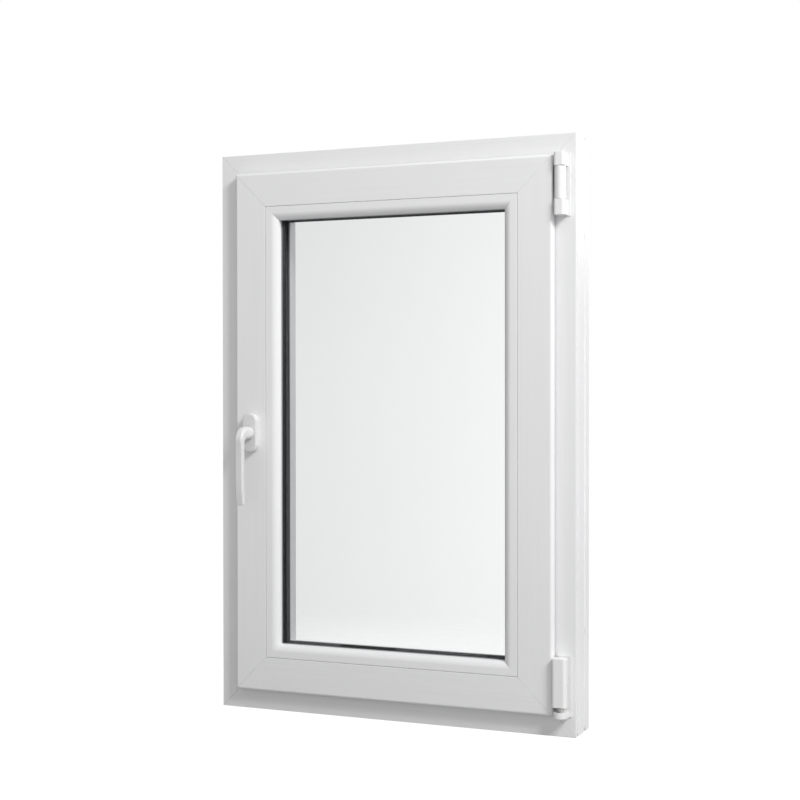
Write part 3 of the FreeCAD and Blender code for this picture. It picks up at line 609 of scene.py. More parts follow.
# ------------------------------------------------------------------ runs of profile

class Side(Enum):
    """The four sides of the window, seen from the room."""

    LOCK = "lock"
    HINGE = "hinge"
    SILL = "sill"
    HEAD = "head"

    @property
    def upright(self) -> bool:
        """Tell whether this side stands upright."""
        return self in (Side.LOCK, Side.HINGE)

    @property
    def length(self) -> float:
        """Give the outer length of this side in millimetres."""
        return HEIGHT if self.upright else WIDTH

    @property
    def grain(self) -> Grain:
        """Give the way an extrusion's marks run on this side."""
        return Grain.UPRIGHT if self.upright else Grain.LEVEL

    @property
    def matrix(self) -> Matrix:
        """Give the move from the rail's own frame onto this side, in metres."""
        turn, across, height = {
            Side.LOCK: (0, -WIDTH / 2, HEIGHT / 2), Side.HINGE: (180, WIDTH / 2, HEIGHT / 2),
            Side.SILL: (-90, 0, 0), Side.HEAD: (90, 0, HEIGHT)}[self]
        place = Matrix.Translation(Vector((across, -DEPTH / 2, height)) * MM)
        return place @ Matrix.Rotation(math.radians(turn), 4, "Y")


@dataclass(frozen=True)
class Arc:
    """A round stretch: radius in millimetres, and +1 or -1 to bulge left or right of travel."""

    radius: float
    side: int
    steps: int = 8

    def between(self, start: Vector, stop: Vector) -> list[Vector]:
        """Give the arc's points between its two ends, without them."""
        chord = stop - start
        across = Vector((-chord.y, chord.x)).normalized() * self.side
        deep = math.sqrt(max(self.radius ** 2 - (chord.length / 2) ** 2, 0.0))
        centre = (start + stop) / 2 - across * deep
        first, last = (math.atan2(*(end - centre).yx) for end in (start, stop))
        sweep = (last - first + math.pi) % (2 * math.pi) - math.pi
        angles = [first + sweep * step / self.steps for step in range(1, self.steps)]
        return [centre + Vector((math.cos(a), math.sin(a))) * self.radius for a in angles]


@dataclass(frozen=True)
class Outline:
    """One closed outline: corners in millimetres, arcs between some, and eased corners."""

    corners: tuple[Point, ...]
    arcs: dict[int, Arc] = field(default_factory=dict)
    ease: float = 0.3
    eased_more: dict[int, float] = field(default_factory=dict)

    def points(self) -> list[Vector]:
        """Give the outline's points with every sharp corner eased."""
        raw: list[tuple[Vector, float]] = []
        for index, corner in enumerate(self.corners):
            start = Vector(corner)
            stop = Vector(self.corners[(index + 1) % len(self.corners)])
            raw.append((start, self.eased_more.get(index, self.ease)))
            if index in self.arcs:
                raw += [(point, 0.0) for point in self.arcs[index].between(start, stop)]
        result: list[Vector] = []
        for index, (point, radius) in enumerate(raw):
            before = raw[index - 1][0] - point
            after = raw[(index + 1) % len(raw)][0] - point
            turn = math.pi - before.angle(after)
            if radius == 0 or turn < math.radians(20):
                result.append(point)
                continue
            reach = min(radius * math.tan(turn / 2), 0.4 * before.length, 0.4 * after.length)
            start, stop = point + before.normalized() * reach, point + after.normalized() * reach
            for share in (0.0, 0.33, 0.67, 1.0):
                near, far = start.lerp(point, share), point.lerp(stop, share)
                result.append(near.lerp(far, share))
        return result

    def loop(self, solid_inside: bool) -> list[Vector]:
        """Give the points in the order that keeps the solid on the left.

        Args:
            solid_inside: True for an outer outline, False for a chamber.

        Returns:
            The points.
        """
        points = self.points()
        area = sum(points[i - 1].x * p.y - p.x * points[i - 1].y for i, p in enumerate(points))
        return points if (area > 0) == solid_inside else points[::-1]


def rectangle(low_x: float, high_x: float, low_y: float, high_y: float) -> Outline:
    """Make a rectangular outline."""
    return Outline(((low_x, low_y), (high_x, low_y), (high_x, high_y), (low_x, high_y)))


class MitredRun:
    """Grows a mitred length of profile from its end face, with a weld groove at each end."""

    def __init__(self) -> None:
        """Build the tree."""
        tree = GrowingTree("mitred_run", {"Length": 0.6, "Weld Width": 0.0, "Weld Depth": 0.0})
        face = tree.given["Geometry"]
        up = tree.add("FunctionNodeInputVector", vector=(0.0, 0.0, 1.0)).outputs[0]
        grown, top = face, None
        for _ in range(3):
            feeds = {"Mesh": grown, "Offset": up, "Individual": False}
            if top is not None:
                feeds["Selection"] = top
            step = tree.add("GeometryNodeExtrudeMesh", feeds, mode="FACES")
            grown, top = step.outputs["Mesh"], step.outputs["Top"]
        whole = tree.join(grown, tree.add("GeometryNodeFlipFaces", {"Mesh": face}).outputs[0])
        place = tree.add("ShaderNodeSeparateXYZ", {
            0: tree.add("GeometryNodeInputPosition").outputs[0]}).outputs
        named = tree.add("GeometryNodeInputNamedAttribute", {"Name": "outward"},
                         data_type="FLOAT_VECTOR")
        out = tree.add("ShaderNodeSeparateXYZ", {0: named.outputs["Attribute"]}).outputs
        inner = tree.math("LESS_THAN",
                          tree.math("ABSOLUTE", tree.math("SUBTRACT", place[2], 1.5)), 1.0)
        sign = tree.math("MULTIPLY_ADD", tree.math("GREATER_THAN", place[2], 1.5), 2.0, -1.0)
        dent = tree.math("MULTIPLY", tree.math("SUBTRACT", 1.0, inner), tree.given["Weld Depth"])
        inset = tree.math("SUBTRACT", place[0], tree.math("MULTIPLY", out[0], dent))
        deep = tree.math("SUBTRACT", place[1], tree.math("MULTIPLY", out[1], dent))
        back = tree.math("MULTIPLY", inner, tree.given["Weld Width"])
        half = tree.math("MULTIPLY", tree.given["Length"], 0.5)
        reach = tree.math("SUBTRACT", tree.math("SUBTRACT", half, inset), back)
        moved = tree.add("ShaderNodeCombineXYZ", {
            0: inset, 1: deep, 2: tree.math("MULTIPLY", sign, reach)}).outputs[0]
        laid = tree.add("GeometryNodeSetPosition", {
            "Geometry": whole, "Position": moved}).outputs[0]
        self.tree = tree.close(tree.add("GeometryNodeMergeByDistance", {
            "Geometry": laid, "Distance": 1e-6}).outputs[0])

    @staticmethod
    def end_face(outlines: Sequence[Outline]) -> Mesh:
        """Make the end face of a profile.

        Args:
            outlines: the outer outline, then the outline of each chamber.

        Returns:
            A flat mesh whose corners carry the way out of the solid as "outward".
        """
        loops = [outline.loop(index == 0) for index, outline in enumerate(outlines)]
        points = [point for loop in loops for point in loop]
        outward: list[Vector] = []
        for loop in loops:
            for index, point in enumerate(loop):
                steps = (point - loop[index - 1], loop[(index + 1) % len(loop)] - point)
                ways = [Vector((step.y, -step.x, 0.0)).normalized() for step in steps]
                outward.append((ways[0] + ways[1]).normalized())
        flat = [[Vector((*point, 0.0)) for point in loop] for loop in loops]
        bm = bmesh.new()
        corners = [bm.verts.new((point.x * MM, point.y * MM, 0.0)) for point in points]
        for triangle in tessellate_polygon(flat):
            bm.faces.new([corners[index] for index in triangle])
        bmesh.ops.recalc_face_normals(bm, faces=bm.faces)
        bm.normal_update()
        if sum(face.normal.z * face.calc_area() for face in bm.faces) < 0:
            bmesh.ops.reverse_faces(bm, faces=bm.faces)
        mesh = from_bmesh(bm, "end_face")
        layer = mesh.attributes.new("outward", "FLOAT_VECTOR", "POINT")
        layer.data.foreach_set("vector", [part for way in outward for part in way])
        return mesh

    def along(self, side: Side, outlines: Sequence[Outline], material: Material,
              weld_width: float = 0.0, weld_depth: float = 0.0) -> Mesh:
        """Grow one run and lay it along a side.

        Args:
            side: the side of the window.
            outlines: the outer outline, then the chambers.
            material: the run's material.
            weld_width: width of the weld groove on this run, in millimetres.
            weld_depth: its depth, in millimetres.

        Returns:
            A closed mesh in place.
        """
        mesh = self.tree.grow(self.end_face(outlines), material, Length=side.length * MM,
                              Weld_Width=weld_width * MM, Weld_Depth=weld_depth * MM)
        mesh.transform(side.matrix)
        return mesh

    def around(self, outlines: Sequence[Outline], material: Material, name: str) -> Mesh:
        """Grow one unbroken ring round all four sides, with nothing inside its corners.

        Args:
            outlines: the outer outline, then the hollows.
            material: the ring's material.
            name: the new mesh's name.

        Returns:
            A closed mesh in place.
        """
        parts = []
        for side in Side:
            mesh = self.tree.grow(self.end_face(outlines), material, Length=side.length * MM)
            bm = bmesh.new()
            bm.from_mesh(mesh)
            half = side.length * MM / 2
            ends = [face for face in bm.faces for way in (-1, 1)
                    if all(abs(way * v.co.z + v.co.x - half) < 1e-6 for v in face.verts)]
            bmesh.ops.delete(bm, geom=ends, context="FACES")
            bm.to_mesh(mesh)
            bm.free()
            mesh.transform(side.matrix)
            parts.append(mesh)
        return merged(parts, name, distance=2e-6)


FRAME_RAILS = {Side.HEAD: "head", Side.SILL: "sill", Side.LOCK: "jamb_lock",
               Side.HINGE: "jamb_hinge"}
SASH_RAILS = {Side.HEAD: "top_rail", Side.SILL: "bottom_rail", Side.LOCK: "stile_lock",
              Side.HINGE: "stile_hinge"}


@dataclass
class OuterFrame:
    """White outer frame: four welded runs, drain slots in the sill, anchor holes in the jambs."""

    runs: MitredRun
    weld_width: float = 0.5
    weld_depth: float = 0.7
    outer: Outline = Outline(
        ((0, 0), (40, 0), (40, 60), (57.5, 60), (57.5, 62), (59.5, 62), (59.5, 60), (64, 60),
         (64, 68), (62, 70), (0, 70), (0, 52), (3.5, 52), (3.5, 42), (0, 42), (0, 12),
         (3.5, 12), (3.5, 5), (0, 5)), eased_more={0: 0.8, 1: 0.8, 2: 1.0, 10: 0.8})
    chambers: tuple[Outline, ...] = (
        rectangle(7, 37, 3, 12), rectangle(7, 37, 15, 40), rectangle(7, 37, 43, 57),
        rectangle(3, 57, 64, 67))
    drain_inset: float = 46.5
    drain_half: float = 12.5
    drain_radius: float = 2.5
    drain_across: float = 150.0
    anchor_depth: float = 48.0
    anchor_radius: float = 3.75
    anchor_half_spacing: float = 300.0

    def drain_tools(self) -> list[Mesh]:
        """Make the cutters of the two drain slots in the sill's outer wall."""
        tools = []
        for sign in (-1, 1):
            ends = [Vector((sign * self.drain_across + way * self.drain_half,
                            DEPTH / 2, self.drain_inset)) for way in (-1, 1)]
            tools.append(slot_bar(*ends, "Y", self.drain_radius, 8))
        return tools

    def anchor_tools(self, side: Side) -> list[Mesh]:
        """Make the cutters of the two anchor holes in a jamb.

        Args:
            side: which jamb.

        Returns:
            The cutters.
        """
        sign = -1 if side is Side.LOCK else 1
        tools = []
        for way in (-1, 1):
            centre = Vector((sign * (WIDTH / 2 - 20), self.anchor_depth - DEPTH / 2,
                             HEIGHT / 2 + way * self.anchor_half_spacing))
            tools.append(slot_bar(centre, centre, "X", self.anchor_radius, 44))
        return tools

    def build(self) -> None:
        """Build the four runs and dress the steels inside them."""
        for side, name in FRAME_RAILS.items():
            white = UPVC.material(side.grain)
            mesh = self.runs.along(side, (self.outer, *self.chambers), white,
                                   self.weld_width, self.weld_depth)
            tools = self.anchor_tools(side) if side.upright else []
            if side is Side.SILL:
                tools = self.drain_tools()
            if tools:
                mesh = carved(mesh, tools)
            hand_over(mesh, f"frame_{name}_profile", white, "frame_" + name)
            eased_copy("frame_steel_" + name, GALVANISED.material(side.grain))


@dataclass
class Sash:
    """White sash: four welded runs, the lock stile cut out for the gearbox and the handle."""

    runs: MitredRun
    weld_width: float = 0.5
    weld_depth: float = 0.7
    outer: Outline = Outline(
        ((32, -3), (32, -10.5), (36.5, -15), (87, -15), (87, -8.2), (90, -8.2), (90, 28.5),
         (107.5, 28.5), (109, 30), (105, 57), (54, 57), (54, 24), (52, 24), (52, 18),
         (55, 18), (55, 16), (61, 16), (61, 4), (55, 4), (55, 2), (52, 2), (52, -3),
         (39, -3), (39, -5), (37, -5), (37, -3)),
        arcs={1: Arc(4.5, -1), 7: Arc(1.5, -1, 4)}, eased_more={3: 0.9, 9: 1.0, 10: 1.0})
    chambers: tuple[Outline, ...] = (
        rectangle(36, 84, -12, -7), rectangle(64, 86, -4, 17), rectangle(57, 86, 20, 44),
        rectangle(57, 102, 47, 54), rectangle(93, 104, 31.5, 44))
    gearbox_room: tuple[Point, Point] = ((52, 80), (3, 17))
    gearbox_margin: float = 2.0
    spindle_hole: float = 6.5
    screw_hole: float = 2.7
    screw_pitch: float = 43.0

    def stile_tools(self) -> list[Mesh]:
        """Make the cutters of the gearbox room and of the handle's three holes."""
        (near, far), (front, back) = self.gearbox_room
        low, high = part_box("gearbox_case")
        bottom, top = low.z / MM - self.gearbox_margin, high.z / MM + self.gearbox_margin
        room = block(Vector((near - WIDTH / 2, front - DEPTH / 2, bottom)),
                     Vector((far - WIDTH / 2, back - DEPTH / 2, top)))
        low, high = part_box("handle_spindle")
        centre = (low + high) * 0.5 / MM
        centre.y = -DEPTH / 2 - 5
        tools = [room, slot_bar(centre, centre, "Y", self.spindle_hole, 24)]
        for way in (-1, 1):
            spot = centre + Vector((0, 0, way * self.screw_pitch / 2))
            tools.append(slot_bar(spot, spot, "Y", self.screw_hole, 24))
        return tools

    def build(self) -> None:
        """Build the four runs and dress the steels inside them."""
        for side, name in SASH_RAILS.items():
            white = UPVC.material(side.grain)
            mesh = self.runs.along(side, (self.outer, *self.chambers), white,
                                   self.weld_width, self.weld_depth)
            if side is Side.LOCK:
                mesh = carved(mesh, self.stile_tools())
            hand_over(mesh, f"sash_{name}_profile", white, "sash_" + name)
            eased_copy("sash_steel_" + name, GALVANISED.material(side.grain))


@dataclass
class Beads:
    """Rounded glazing beads, cut to a mitre and pressed into the sash."""

    runs: MitredRun
    joint: float = 0.35
    outer: Outline = Outline(
        ((87.4, -8.2), (87.4, -15), (97, -14.8), (109, -7.6), (109, -1.5), (105.5, -1.5),
         (105.5, -6), (93, -9.2), (93, 0.6), (90, 0.6), (90, -8.2)),
        arcs={2: Arc(13.6, -1, 12)}, eased_more={1: 0.9, 3: 0.5})

    def build(self) -> None:
        """Build the four beads."""
        for side, name in SASH_RAILS.items():
            white = BEAD_UPVC.material(side.grain)
            mesh = self.runs.along(side, (self.outer,), white, self.joint, self.joint / 2)
            hand_over(mesh, f"bead_{name}_profile", white, "bead_" + name)


@dataclass
class Seals:
    """Overlap seals on the frame and the sash, and the gaskets on both sides of the glass."""

    runs: MitredRun
    frame_lip: Outline = Outline(
        ((57.6, 61.8), (57.6, 60), (56.5, 60), (56.5, 59.3), (60.5, 59.3), (60.5, 60),
         (59.4, 60), (59.4, 61.8)), arcs={3: Arc(2.05, -1, 8)}, ease=0.1)
    sash_lip: Outline = Outline(
        ((38.9, -4.8), (38.9, -3), (39.5, -3), (36.5, -3), (37.1, -3), (37.1, -4.8)),
        arcs={2: Arc(1.54, -1, 8)}, ease=0.1)
    room_gasket: Outline = Outline(
        ((103.5, -1.5), (108.3, -1.5), (109.6, -0.2), (109.6, 1.5), (103.5, 1.5)),
        arcs={1: Arc(1.35, -1, 5)}, ease=0.15)
    outdoor_gasket: Outline = Outline(
        ((103.5, 25.5), (109.6, 25.5), (109.6, 27.2), (108.3, 28.5), (103.5, 28.5)),
        arcs={2: Arc(1.35, -1, 5)}, ease=0.15)
    gap_margin: float = 2.0
    gap_half_wide: float = 5.0
    gap_beyond: float = 3.0
    straps: tuple[tuple[str, float, float], ...] = (
        ("hinge_lower_band", 10.1, 5.7), ("stay_arm", 11.5, 0.0))

    def gap_tools(self) -> list[Mesh]:
        """Make the cutters that leave the sash seal open where the hinge straps pass."""
        low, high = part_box("sash_seal")
        right = high.x / MM
        front, back = low.y / MM - self.gap_beyond, high.y / MM + self.gap_beyond
        tools = []
        for node, lift, drop in self.straps:
            strap_low, strap_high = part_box(node)
            bottom = strap_low.z / MM + lift - self.gap_margin
            top = strap_high.z / MM - drop + self.gap_margin
            tools.append(block(Vector((right - self.gap_half_wide, front, bottom)),
                               Vector((right + self.gap_half_wide, back, top))))
        return tools

    def build(self) -> None:
        """Build the two seals and the two gaskets."""
        black = SEAL_RUBBER.material()
        grey = GASKET_RUBBER.material()
        hand_over(self.runs.around((self.frame_lip,), black, "frame_seal_lip"),
                  "frame_seal_lip", black, "frame_seal")
        ring = self.runs.around((self.sash_lip,), black, "sash_seal_lip")
        hand_over(carved(ring, self.gap_tools()), "sash_seal_lip", black, "sash_seal")
        hand_over(self.runs.around((self.room_gasket,), grey, "gasket_room_side"),
                  "gasket_room_side", grey, "gasket_inner")
        hand_over(self.runs.around((self.outdoor_gasket,), grey, "gasket_outdoor_side"),
                  "gasket_outdoor_side", grey, "gasket_outer")


# ------------------------------------------------------------------ glass

class PerforationRow:
    """Grows the dark dots that stand for a spacer's breathing holes, in two rows."""

    def __init__(self) -> None:
        """Build the tree."""
        tree = GrowingTree("perforation_row", {
            "Length": 0.3, "Pitch": 0.004, "Radius": 0.0005, "Half Gap": 0.003})
        given = tree.given
        count = tree.math("FLOOR", tree.math("DIVIDE", given["Length"], given["Pitch"]))
        start = tree.add("ShaderNodeCombineXYZ", {
            2: tree.math("MULTIPLY", given["Length"], -0.5)}).outputs[0]
        step = tree.add("ShaderNodeCombineXYZ", {2: given["Pitch"]}).outputs[0]
        rows = []
        for sign in (-1.0, 1.0):
            line = tree.add("GeometryNodeMeshLine", {
                "Count": count, "Start Location": start, "Offset": step})
            shift = tree.add("ShaderNodeCombineXYZ", {
                1: tree.math("MULTIPLY", given["Half Gap"], sign)}).outputs[0]
            rows.append(tree.add("GeometryNodeSetPosition", {
                "Geometry": line.outputs[0], "Offset": shift}).outputs[0])
        disc = tree.add("GeometryNodeMeshCylinder", {
            "Vertices": 6, "Radius": given["Radius"], "Depth": 0.0002}).outputs[0]
        turned = tree.add("GeometryNodeTransform", {
            "Geometry": disc, "Rotation": (0.0, math.pi / 2, 0.0)}).outputs[0]
        dots = tree.add("GeometryNodeInstanceOnPoints", {
            "Points": tree.join(*rows), "Instance": turned}).outputs[0]
        self.tree = tree.close(dots)


@dataclass
class GlassUnit:
    """Sealed double-glazed unit: two panes, a perforated spacer, sealant and blocks."""

    runs: MitredRun
    spacer: Outline = Outline(((99, 5.5), (106, 5.5), (106, 21.5), (99, 21.5)), ease=0.8)
    spacer_hollow: Outline = rectangle(100, 105, 6.5, 20.5)
    hole_pitch: float = 4.0
    hole_radius: float = 0.5
    hole_half_gap: float = 3.4
    hole_end: float = 8.0

    def perforations(self, material: Material) -> Mesh:
        """Make the rows of dots that stand for the holes on all four sides.

        Args:
            material: the dots' material.

        Returns:
            One mesh with all of them.
        """
        tree = PerforationRow().tree
        inset = max(x for x, _ in self.spacer.corners)
        depth = sum(y for _, y in self.spacer.corners) / len(self.spacer.corners)
        rows = []
        for side in Side:
            length = side.length - 2 * (inset + self.hole_end)
            row = tree.grow(bpy.data.meshes.new("row_start"), material, Length=length * MM,
                            Pitch=self.hole_pitch * MM, Radius=self.hole_radius * MM,
                            Half_Gap=self.hole_half_gap * MM)
            row.transform(side.matrix @ Matrix.Translation((inset * MM, depth * MM, 0.0)))
            rows.append(row)
        return merged(rows, "spacer_perforations")

    def build(self) -> None:
        """Build the spacer and dress the panes, the sealant and the blocks."""
        glass = PaneGlass().material()
        for node in ("pane_inner", "pane_outer"):
            pane = frame["nodes"][node]
            pane.data.materials.clear()
            pane.data.materials.append(glass)
            LOG.info("%s: dressed in %s", node, glass.name)
        black = SPACER_BLACK.material()
        ring = self.runs.around((self.spacer, self.spacer_hollow), black, "spacer_ring")
        hand_over(ring, "spacer_ring", black, "spacer_frame")
        hand_over_extra(self.perforations(SEALANT.material()), "spacer_perforations",
                        SEALANT.material(), BODY_OF["spacer_frame"])
        eased_copy("edge_sealant", SEALANT.material(), 0.5)
        eased_copy("setting_blocks", BLOCK_PLASTIC.material(), 0.4)


# ------------------------------------------------------------------ screws and strikers

def spot_mesh(spots: Sequence[Vector]) -> Mesh:
    """Make a mesh of loose points from places in millimetres."""
    points = bpy.data.meshes.new("spots")
    points.from_pydata([tuple(spot * MM) for spot in spots], [], [])
    return points


class ScrewSet:
    """Grows cross-head screws on given points."""

    def __init__(self) -> None:
        """Build the tree."""
        tree = GrowingTree("screw_set", {
            "Head Radius": 0.0036, "Head Height": 0.0009, "Shank Radius": 0.002,
            "Shank Length": 0.012, "Recess": 0.0042})
        given = tree.given
        head = tree.add("GeometryNodeMeshCone", {
            "Vertices": 28, "Radius Top": tree.math("MULTIPLY", given["Head Radius"], 0.86),
            "Radius Bottom": given["Head Radius"], "Depth": given["Head Height"]}).outputs[0]
        lowered = tree.add("ShaderNodeCombineXYZ", {
            2: tree.math("MULTIPLY", given["Head Height"], -1.0)}).outputs[0]
        head = tree.add("GeometryNodeTransform", {
            "Geometry": head, "Translation": lowered}).outputs[0]
        long = tree.math("ADD", given["Shank Length"], 0.0002)
        shank = tree.add("GeometryNodeMeshCylinder", {
            "Vertices": 18, "Radius": given["Shank Radius"], "Depth": long}).outputs[0]
        sunk = tree.math("SUBTRACT", tree.math("MULTIPLY", long, -0.5),
                         tree.math("SUBTRACT", given["Head Height"], 0.0002))
        shank = tree.add("GeometryNodeTransform", {
            "Geometry": shank, "Translation": tree.add(
                "ShaderNodeCombineXYZ", {2: sunk}).outputs[0]}).outputs[0]
        solid = tree.add("GeometryNodeMeshBoolean", operation="UNION")
        tree.tree.links.new(head, solid.inputs["Mesh 2"])
        tree.tree.links.new(shank, solid.inputs["Mesh 2"])
        narrow = tree.math("MULTIPLY", given["Recess"], 0.24)
        deep = tree.math("MULTIPLY", given["Head Height"], 1.3)
        deeper = tree.math("MULTIPLY", given["Head Height"], 1.45)
        bars = []
        for size in ((given["Recess"], narrow, deep), (narrow, given["Recess"], deeper)):
            size = tree.add("ShaderNodeCombineXYZ", dict(enumerate(size))).outputs[0]
            bars.append(tree.add("GeometryNodeMeshCube", {"Size": size}).outputs[0])
        recessed = tree.add("GeometryNodeMeshBoolean", {"Mesh 1": solid.outputs[0]},
                            operation="DIFFERENCE")
        for bar in bars:
            tree.tree.links.new(bar, recessed.inputs["Mesh 2"])
        turn = tree.add("FunctionNodeAlignRotationToVector", {
            "Vector": given["Direction"]}, axis="Z").outputs[0]
        screws = tree.add("GeometryNodeInstanceOnPoints", {
            "Points": given["Geometry"], "Instance": recessed.outputs[0], "Rotation": turn})
        self.tree = tree.close(screws.outputs[0])

    def at(self, spots: Sequence[Vector], out: Vector, head: Point, shank: Point) -> Mesh:
        """Grow screws.

        Args:
            spots: the tops of the heads, in millimetres.
            out: the way that the heads face.
            head: radius and height of a head, in millimetres.
            shank: radius and length of a shank, in millimetres.

        Returns:
            One mesh with all of them.
        """
        return self.tree.grow(
            spot_mesh(spots), SCREW_STEEL.material(), Direction=tuple(out), Head_Radius=head[0] * MM,
            Head_Height=head[1] * MM, Shank_Radius=shank[0] * MM, Shank_Length=shank[1] * MM,
            Recess=head[0] * 1.25 * MM)


class CapSet:
    """Grows thin round cover caps on given points."""

    def __init__(self) -> None:
        """Build the tree."""
        tree = GrowingTree("cap_set", {"Radius": 0.0039, "Height": 0.0004})
        given = tree.given
        disc = tree.add("GeometryNodeMeshCylinder", {
            "Vertices": 32, "Radius": given["Radius"], "Depth": given["Height"]}).outputs[0]
        sunk = tree.add("ShaderNodeCombineXYZ", {
            2: tree.math("MULTIPLY", given["Height"], -0.5)}).outputs[0]
        disc = tree.add("GeometryNodeTransform", {
            "Geometry": disc, "Translation": sunk}).outputs[0]
        turn = tree.add("FunctionNodeAlignRotationToVector", {
            "Vector": given["Direction"]}, axis="Z").outputs[0]
        self.tree = tree.close(tree.add("GeometryNodeInstanceOnPoints", {
            "Points": given["Geometry"], "Instance": disc, "Rotation": turn}).outputs[0])

    def at(self, spots: Sequence[Vector], out: Vector, radius: float, height: float) -> Mesh:
        """Grow caps.

        Args:
            spots: the middles of their fronts, in millimetres.
            out: the way that they face.
            radius: of a cap, in millimetres.
            height: of a cap, in millimetres.

        Returns:
            One mesh with all of them.
        """
        return self.tree.grow(spot_mesh(spots), COVER_ABS.material(), Direction=tuple(out),
                              Radius=radius * MM, Height=height * MM)


@dataclass
class Strikers:
    """Cast striker plates in the frame's rebate and their screws."""

    screws: ScrewSet
    rebate_line: float = 40.0
    plate_thick: float = 2.5
    screw_depth: float = 7.0
    screw_offset: float = 15.0
    head: Point = (3.6, 0.9)
    shank: Point = (2.0, 14.5)

    def screw_mesh(self, side: Side, node: str) -> Mesh:
        """Grow the two screws of one striker.

        Args:
            side: the side that the striker is on.
            node: the striker's CAD node.

        Returns:
            One mesh with both screws.
        """
        low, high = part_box(node)
        middle = (low + high) * 0.5 / MM
        # known fault: the head turns the other way, so its screws land mirrored in x
        along = middle.z - HEIGHT / 2 if side.upright else -middle.x
        top = self.rebate_line + self.plate_thick + self.head[1]
        turned = side.matrix
        spots = [turned @ (Vector((top, self.screw_depth, along + way * self.screw_offset)) * MM)
                 / MM for way in (-1, 1)]
        out = turned.to_3x3() @ Vector((1.0, 0.0, 0.0))
        return self.screws.at(spots, out, self.head, self.shank)

    def build(self) -> None:
        """Build the four strikers and their screws."""
        spots = {"striker_lock_low": Side.LOCK, "striker_lock_high": Side.LOCK,
                 "striker_head": Side.HEAD, "striker_sill": Side.SILL}
        meshes = []
        for node, side in spots.items():
            eased_copy(node, CAST_ZINC.material(), 0.5)
            meshes.append(self.screw_mesh(side, node))
        hand_over(merged(meshes, "striker_screws_cross_head"), "striker_screws_cross_head",
                  SCREW_STEEL.material(), "striker_screws")


# ------------------------------------------------------------------ hinges and gear

@dataclass
class Hinges:
    """Lower corner hinge, upper stay hinge, the tilt stay, and caps over the plate screws."""

    screws: ScrewSet
    caps: CapSet
    cap_radius: float = 3.9
    cap_height: float = 0.4
    head: Point = (3.6, 0.9)
    shank: Point = (2.0, 13.1)
    lower_levels: tuple[float, ...] = (55, 85, 115)
    upper_levels: tuple[float, ...] = (812.5, 836.5)

    def plate_screws(self, node: str, levels: Sequence[float]) -> None:
        """Grow the screws of one hinge plate, and their caps.

        Args:
            node: the screws' CAD node, which they replace.
            levels: the screws' heights, in millimetres.
        """
        low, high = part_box(node)
        across = (low.x + high.x) / 2 / MM
        spots = [Vector((across, low.y / MM, level)) for level in levels]
        mesh = self.screws.at(spots, Vector((0, -1, 0)), self.head, self.shank)
        hand_over(mesh, node + "_cross_head", SCREW_STEEL.material(), node)
        lift = Vector((0, -self.cap_height - 0.04, 0))
        caps = self.caps.at([spot + lift for spot in spots], Vector((0, -1, 0)),
                            self.cap_radius, self.cap_height)
        hand_over_extra(caps, node + "_caps", COVER_ABS.material(), BODY_OF[node])

    def build(self) -> None:
        """Ease and dress every part of both hinges."""
        for node in ("hinge_lower_foot", "hinge_upper_bracket"):
            eased_copy(node, HINGE_COAT.material(), 0.4)
        for node in ("hinge_lower_sleeve", "stay_sleeve", "hinge_upper_cover_low",
                     "hinge_upper_cover_top"):
            eased_copy(node, COVER_ABS.material(), 0.9)
        for node in ("hinge_pivot_pin", "hinge_upper_pin", "hinge_lower_band", "stay_stud"):
            eased_copy(node, GEAR_STEEL.material(), 0.2)
        eased_copy("stay_arm", GEAR_STEEL.material(Grain.LEVEL), 0.3)
        self.plate_screws("hinge_lower_screws", self.lower_levels)
        self.plate_screws("hinge_upper_screws", self.upper_levels)


@dataclass
class LockingGear:
    """Faceplates with their screws, drive rods, pinion and gearbox."""

    screws: ScrewSet
    head: Point = (3.2, 0.6)
    # short, so that the sliding rods clear it
    shank: Point = (1.7, 1.1)
    face_inset: float = 52.2
    head_proud: float = 0.25
    groove_depth: float = 10.0
    lock_levels: tuple[float, ...] = (-340, -120, -40, 60, 180, 340)
    top_levels: tuple[float, ...] = (-212, -60, 100, 184)
    sill_levels: tuple[float, ...] = (-104, 12, 212)

    def faceplate_screws(self) -> Mesh:
        """Grow the small screws that hold the three faceplates to the sash."""
        meshes = []
        rows = {Side.LOCK: self.lock_levels, Side.HEAD: self.top_levels,
                Side.SILL: self.sill_levels}
        for side, levels in rows.items():
            top = self.face_inset - self.head_proud
            spots = [side.matrix @ (Vector((top, self.groove_depth, level)) * MM) / MM
                     for level in levels]
            out = side.matrix.to_3x3() @ Vector((-1.0, 0.0, 0.0))
            meshes.append(self.screws.at(spots, out, self.head, self.shank))
        return merged(meshes, "faceplate_screws")

    def build(self) -> None:
        """Ease and dress the gear."""
        for node in ("faceplate_lock", "rod_lock"):
            eased_copy(node, GEAR_STEEL.material(Grain.UPRIGHT), 0.15)
        for node in ("faceplate_top", "faceplate_bottom", "rod_top", "rod_bottom"):
            eased_copy(node, GEAR_STEEL.material(Grain.LEVEL), 0.15)
        for node in ("drive_pinion", "gearbox_case"):
            eased_copy(node, GEAR_STEEL.material(), 0.15)
        hand_over_extra(self.faceplate_screws(), "faceplate_screws", SCREW_STEEL.material(),
                        BODY_OF["faceplate_lock"])


# ------------------------------------------------------------------ handle

